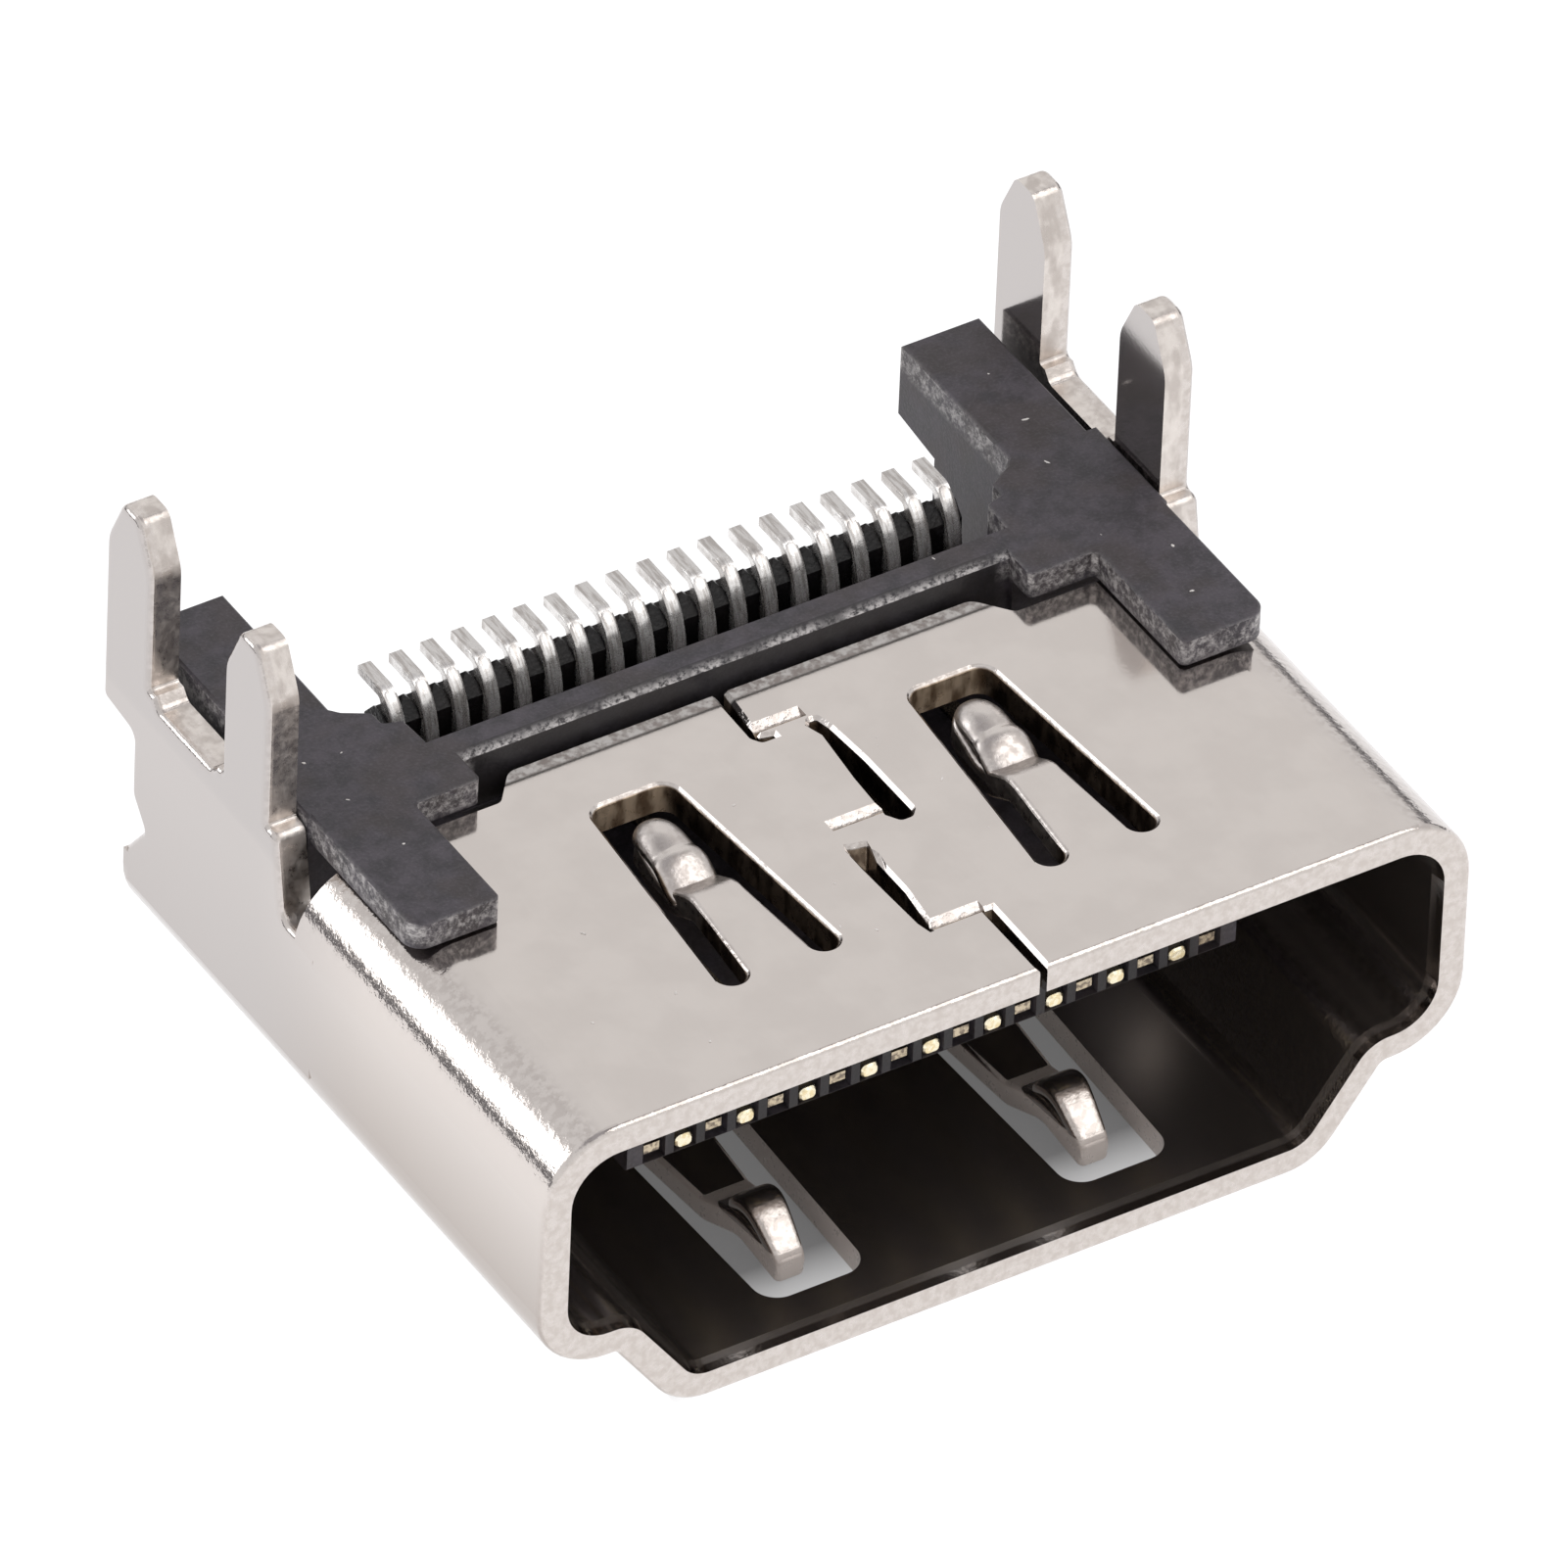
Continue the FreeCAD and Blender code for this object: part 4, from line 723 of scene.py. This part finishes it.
cage = bmesh.new()
for way in (-1, 1):
    for middle, rows, skin in ((WIDE_X, WIDE_NOSE, WIDE_SKIN), (NARROW_X, NARROW_NOSE, NARROW_SKIN)):
        closed_skin(cage, way * middle, rows, [(y, z - skin, half, crown) for y, z, half, crown in rows])
noses = to_object(cage, "pressed_noses")
noses.data.materials.append(nickel)
rounder = noses.modifiers.new("rounder", "SUBSURF")
rounder.levels = 2
rounder.render_levels = 2
plain_mesh(noses)
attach(noses, "root")

# %% [markdown]
# ## Tinned bends of the tails
# Behind the bar every contact rises and bends back to its solder tail. The tin that is plated on
# the strip makes the outside of the bend full and round, so it shines white at the top. Where it
# goes down between the comb's teeth its colour is greyed, a painted shade. It is the same
# nineteen times, so one skin is modelled, and a Geometry Nodes tree sets a copy at every
# contact. An Array modifier would also do it, but the tree has its count and pitch as named
# inputs.

# %% One bend: a quarter ellipse from the riser to the tail
CONTACTS = 19
PITCH = 0.5
TAIL_HALF = 0.104           # half width of a tail with its tin
BEND_START = 4.66           # height of its lowest row, between the comb's teeth
BEND_FOOT = 4.90            # height where the curve starts
BEND_REAR = 9.29            # from the mouth, where it meets the tail
BEND_RUN = 0.585            # half axes of the ellipse
BEND_RISE = 1.02
BEND_SKIN = 0.04            # thickness of the tin
BEND_CROWN = 0.015
TAIL_LAP = 0.08             # how far its last row goes on over the tail
TAIL_SINK = 0.03            # and below the curve's top
CURVE_STEPS = 10


def bend_line(inset):
    """Rows along the bend, inset from its outside, from below its foot to just inside the tail."""
    rows = [(BEND_REAR - BEND_RUN + inset, BEND_START)]
    for i in range(CURVE_STEPS + 1):
        angle = i / CURVE_STEPS * math.pi / 2
        rows.append((BEND_REAR - (BEND_RUN - inset) * math.cos(angle),
                     BEND_FOOT + (BEND_RISE - inset) * math.sin(angle)))
    rows.append((BEND_REAR + TAIL_LAP, BEND_FOOT + BEND_RISE - inset - TAIL_SINK))
    return [(y, z, TAIL_HALF, BEND_CROWN) for y, z in rows]


cage = bmesh.new()
closed_skin(cage, 0.0, bend_line(0.0), bend_line(BEND_SKIN))
tail_bends = to_object(cage, "tinned_bends")
print("one bend's faces:", len(tail_bends.data.polygons))


# %% Geometry Nodes: a tree with named inputs, and its use on an object
def geometry_tree(name, inputs, output):
    """New tree: itself, the identifier of each named input, and what the inputs give."""
    tree = bpy.data.node_groups.new(name, "GeometryNodeTree")
    keys = {}
    for title, kind in inputs:
        keys[title] = tree.interface.new_socket(title, in_out="INPUT", socket_type=kind).identifier
    tree.interface.new_socket(output, in_out="OUTPUT", socket_type="NodeSocketGeometry")
    return tree, keys, add(tree, "NodeGroupInput").outputs


def grow(made, tree, keys, values):
    """Runs a tree on an object, with its inputs set by identifier, and keeps the plain mesh."""
    growth = made.modifiers.new(tree.name, "NODES")
    growth.node_group = tree
    for title, value in values.items():
        growth[keys[title]] = value
    plain_mesh(made)


# %% A copy at every contact
row, keys, given = geometry_tree("row_of_bends", (
    ("Bend", "NodeSocketGeometry"), ("Contacts", "NodeSocketInt"), ("Pitch", "NodeSocketFloat")), "Row")
gaps = add(row, MATH, {0: given["Contacts"], 1: 1.0}, **LESS)
width = add(row, MATH, {0: gaps, 1: given["Pitch"]}, **TIMES)
start = add(row, MATH, {0: width, 1: -0.5}, **TIMES)
first = add(row, "ShaderNodeCombineXYZ", {"X": start})
stride = add(row, "ShaderNodeCombineXYZ", {"X": given["Pitch"]})
places = add(row, "GeometryNodeMeshLine",
             {"Count": given["Contacts"], "Start Location": first, "Offset": stride}, mode="OFFSET")
copies = add(row, "GeometryNodeInstanceOnPoints", {"Points": places, "Instance": given["Bend"]})
real = add(row, "GeometryNodeRealizeInstances", {0: copies})
painted = add(row, "GeometryNodeSetMaterial", {"Geometry": real, "Material": gold_painted_shade})
add(row, "NodeGroupOutput", {0: painted})

grow(tail_bends, row, keys, {"Contacts": CONTACTS, "Pitch": PITCH * MM})
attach(tail_bends, "root")

# %% [markdown]
# ## Dust
# Even a clean part in a close photograph carries a few specks of dust and fibre. They sit on the
# seat of the housing and on the wide wall. A particle system could scatter them, but Geometry
# Nodes show every step: points on the faces of small patches, a lumpy grain on each point with
# its own size and turn, and a material at the end.

# %% Dust patches
PATCHES = (                 # x0, x1, y0, y1, z: flat places of the solids that carry dust
    (-6.7, -5.7, 4.7, 8.8, SEAT), (5.7, 6.7, 4.7, 8.8, SEAT), (-6.7, -5.7, 9.2, 11.6, SEAT),
    (5.7, 6.7, 9.2, 11.6, SEAT), (-4.2, 4.2, 7.5, 7.7, SEAT),
    (-1.6, -0.7, 0.6, 6.4, SHELL_TOP), (0.8, 1.6, 0.6, 6.4, SHELL_TOP), (-5.6, -3.6, 0.5, 4.0, SHELL_TOP),
)
corners = [(x * MM, y * MM, z * MM) for x0, x1, y0, y1, z in PATCHES
           for x, y in ((x0, y0), (x1, y0), (x1, y1), (x0, y1))]
patch_mesh = bpy.data.meshes.new("dust_patches")
patch_mesh.from_pydata(corners, [], [tuple(range(i, i + 4)) for i in range(0, len(corners), 4)])
dust_source = bpy.data.objects.new("dust", patch_mesh)
bpy.context.scene.collection.objects.link(dust_source)
print("patches with dust:", len(patch_mesh.polygons))

# %% Dust finish: pale lint and skin, matte with a soft sheen
DUST_TINT = 0.3             # feature size in mm

dust_material, tree, at, _ = start_material("lint_and_skin_dust")
tint = add(tree, NOISE, {"Vector": at, "Scale": 1 / DUST_TINT, "Detail": 1})
tint = add(tree, MIX, {"Factor": tint, "A": linear("#F4F1EE"), "B": linear("#C9C4C0")}, **COLOUR)
fill(tree, tree.nodes[SHADER], {"Base Color": tint, "Roughness": 0.9, "Sheen Weight": 0.2})

# %% Dust tree
RANDOM = "FunctionNodeRandomValue"
SHORTEST = (0.5, 0.3, 0.25)             # a speck's length, width and height, times its size
LONGEST = (1.6, 0.7, 0.5)
LUMPS = 2.5                             # lumps across a speck

dust, keys, given = geometry_tree("scattered_dust", (
    ("Patches", "NodeSocketGeometry"), ("Specks per square metre", "NodeSocketFloat"),
    ("Smallest speck", "NodeSocketFloat"), ("Largest speck", "NodeSocketFloat"),
    ("Seed", "NodeSocketInt")), "Dust")
seed = given["Seed"]
points = add(dust, "GeometryNodeDistributePointsOnFaces",
             {"Mesh": given["Patches"], "Density": given["Specks per square metre"], "Seed": seed})
grain_shape = add(dust, "GeometryNodeMeshIcoSphere", {"Radius": 0.5, "Subdivisions": 2})
lump = add(dust, NOISE, {"Scale": LUMPS}, noise_dimensions="3D")
push = add(dust, VECTOR, {0: lump.outputs["Color"], 1: (0.5, 0.5, 0.5)}, **LESS)
lumpy = add(dust, "GeometryNodeSetPosition", {"Geometry": grain_shape, "Offset": push})
size = add(dust, RANDOM, {"Min": given["Smallest speck"], "Max": given["Largest speck"], "Seed": seed},
           data_type="FLOAT")
thin = add(dust, RANDOM, {"Min": SHORTEST, "Max": LONGEST, "Seed": seed}, data_type="FLOAT_VECTOR")
scale = add(dust, VECTOR, {0: thin, 1: size}, **TIMES)
spin = add(dust, RANDOM, {"Min": (0, 0, 0), "Max": (0, 0, math.tau), "Seed": seed},
           data_type="FLOAT_VECTOR")
specks = add(dust, "GeometryNodeInstanceOnPoints",
             {"Points": points, "Instance": lumpy, "Rotation": spin, "Scale": scale})
real = add(dust, "GeometryNodeRealizeInstances", {0: specks})
painted = add(dust, "GeometryNodeSetMaterial", {"Geometry": real, "Material": dust_material})
add(dust, "NodeGroupOutput", {0: painted})

# %% Scatter it and keep the plain mesh
SPECKS_PER_SQUARE_MM = 0.8

grow(dust_source, dust, keys, {
    "Specks per square metre": SPECKS_PER_SQUARE_MM * PER_MM * PER_MM,
    "Smallest speck": 0.015 * MM, "Largest speck": 0.075 * MM, "Seed": 7})
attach(dust_source, "root")
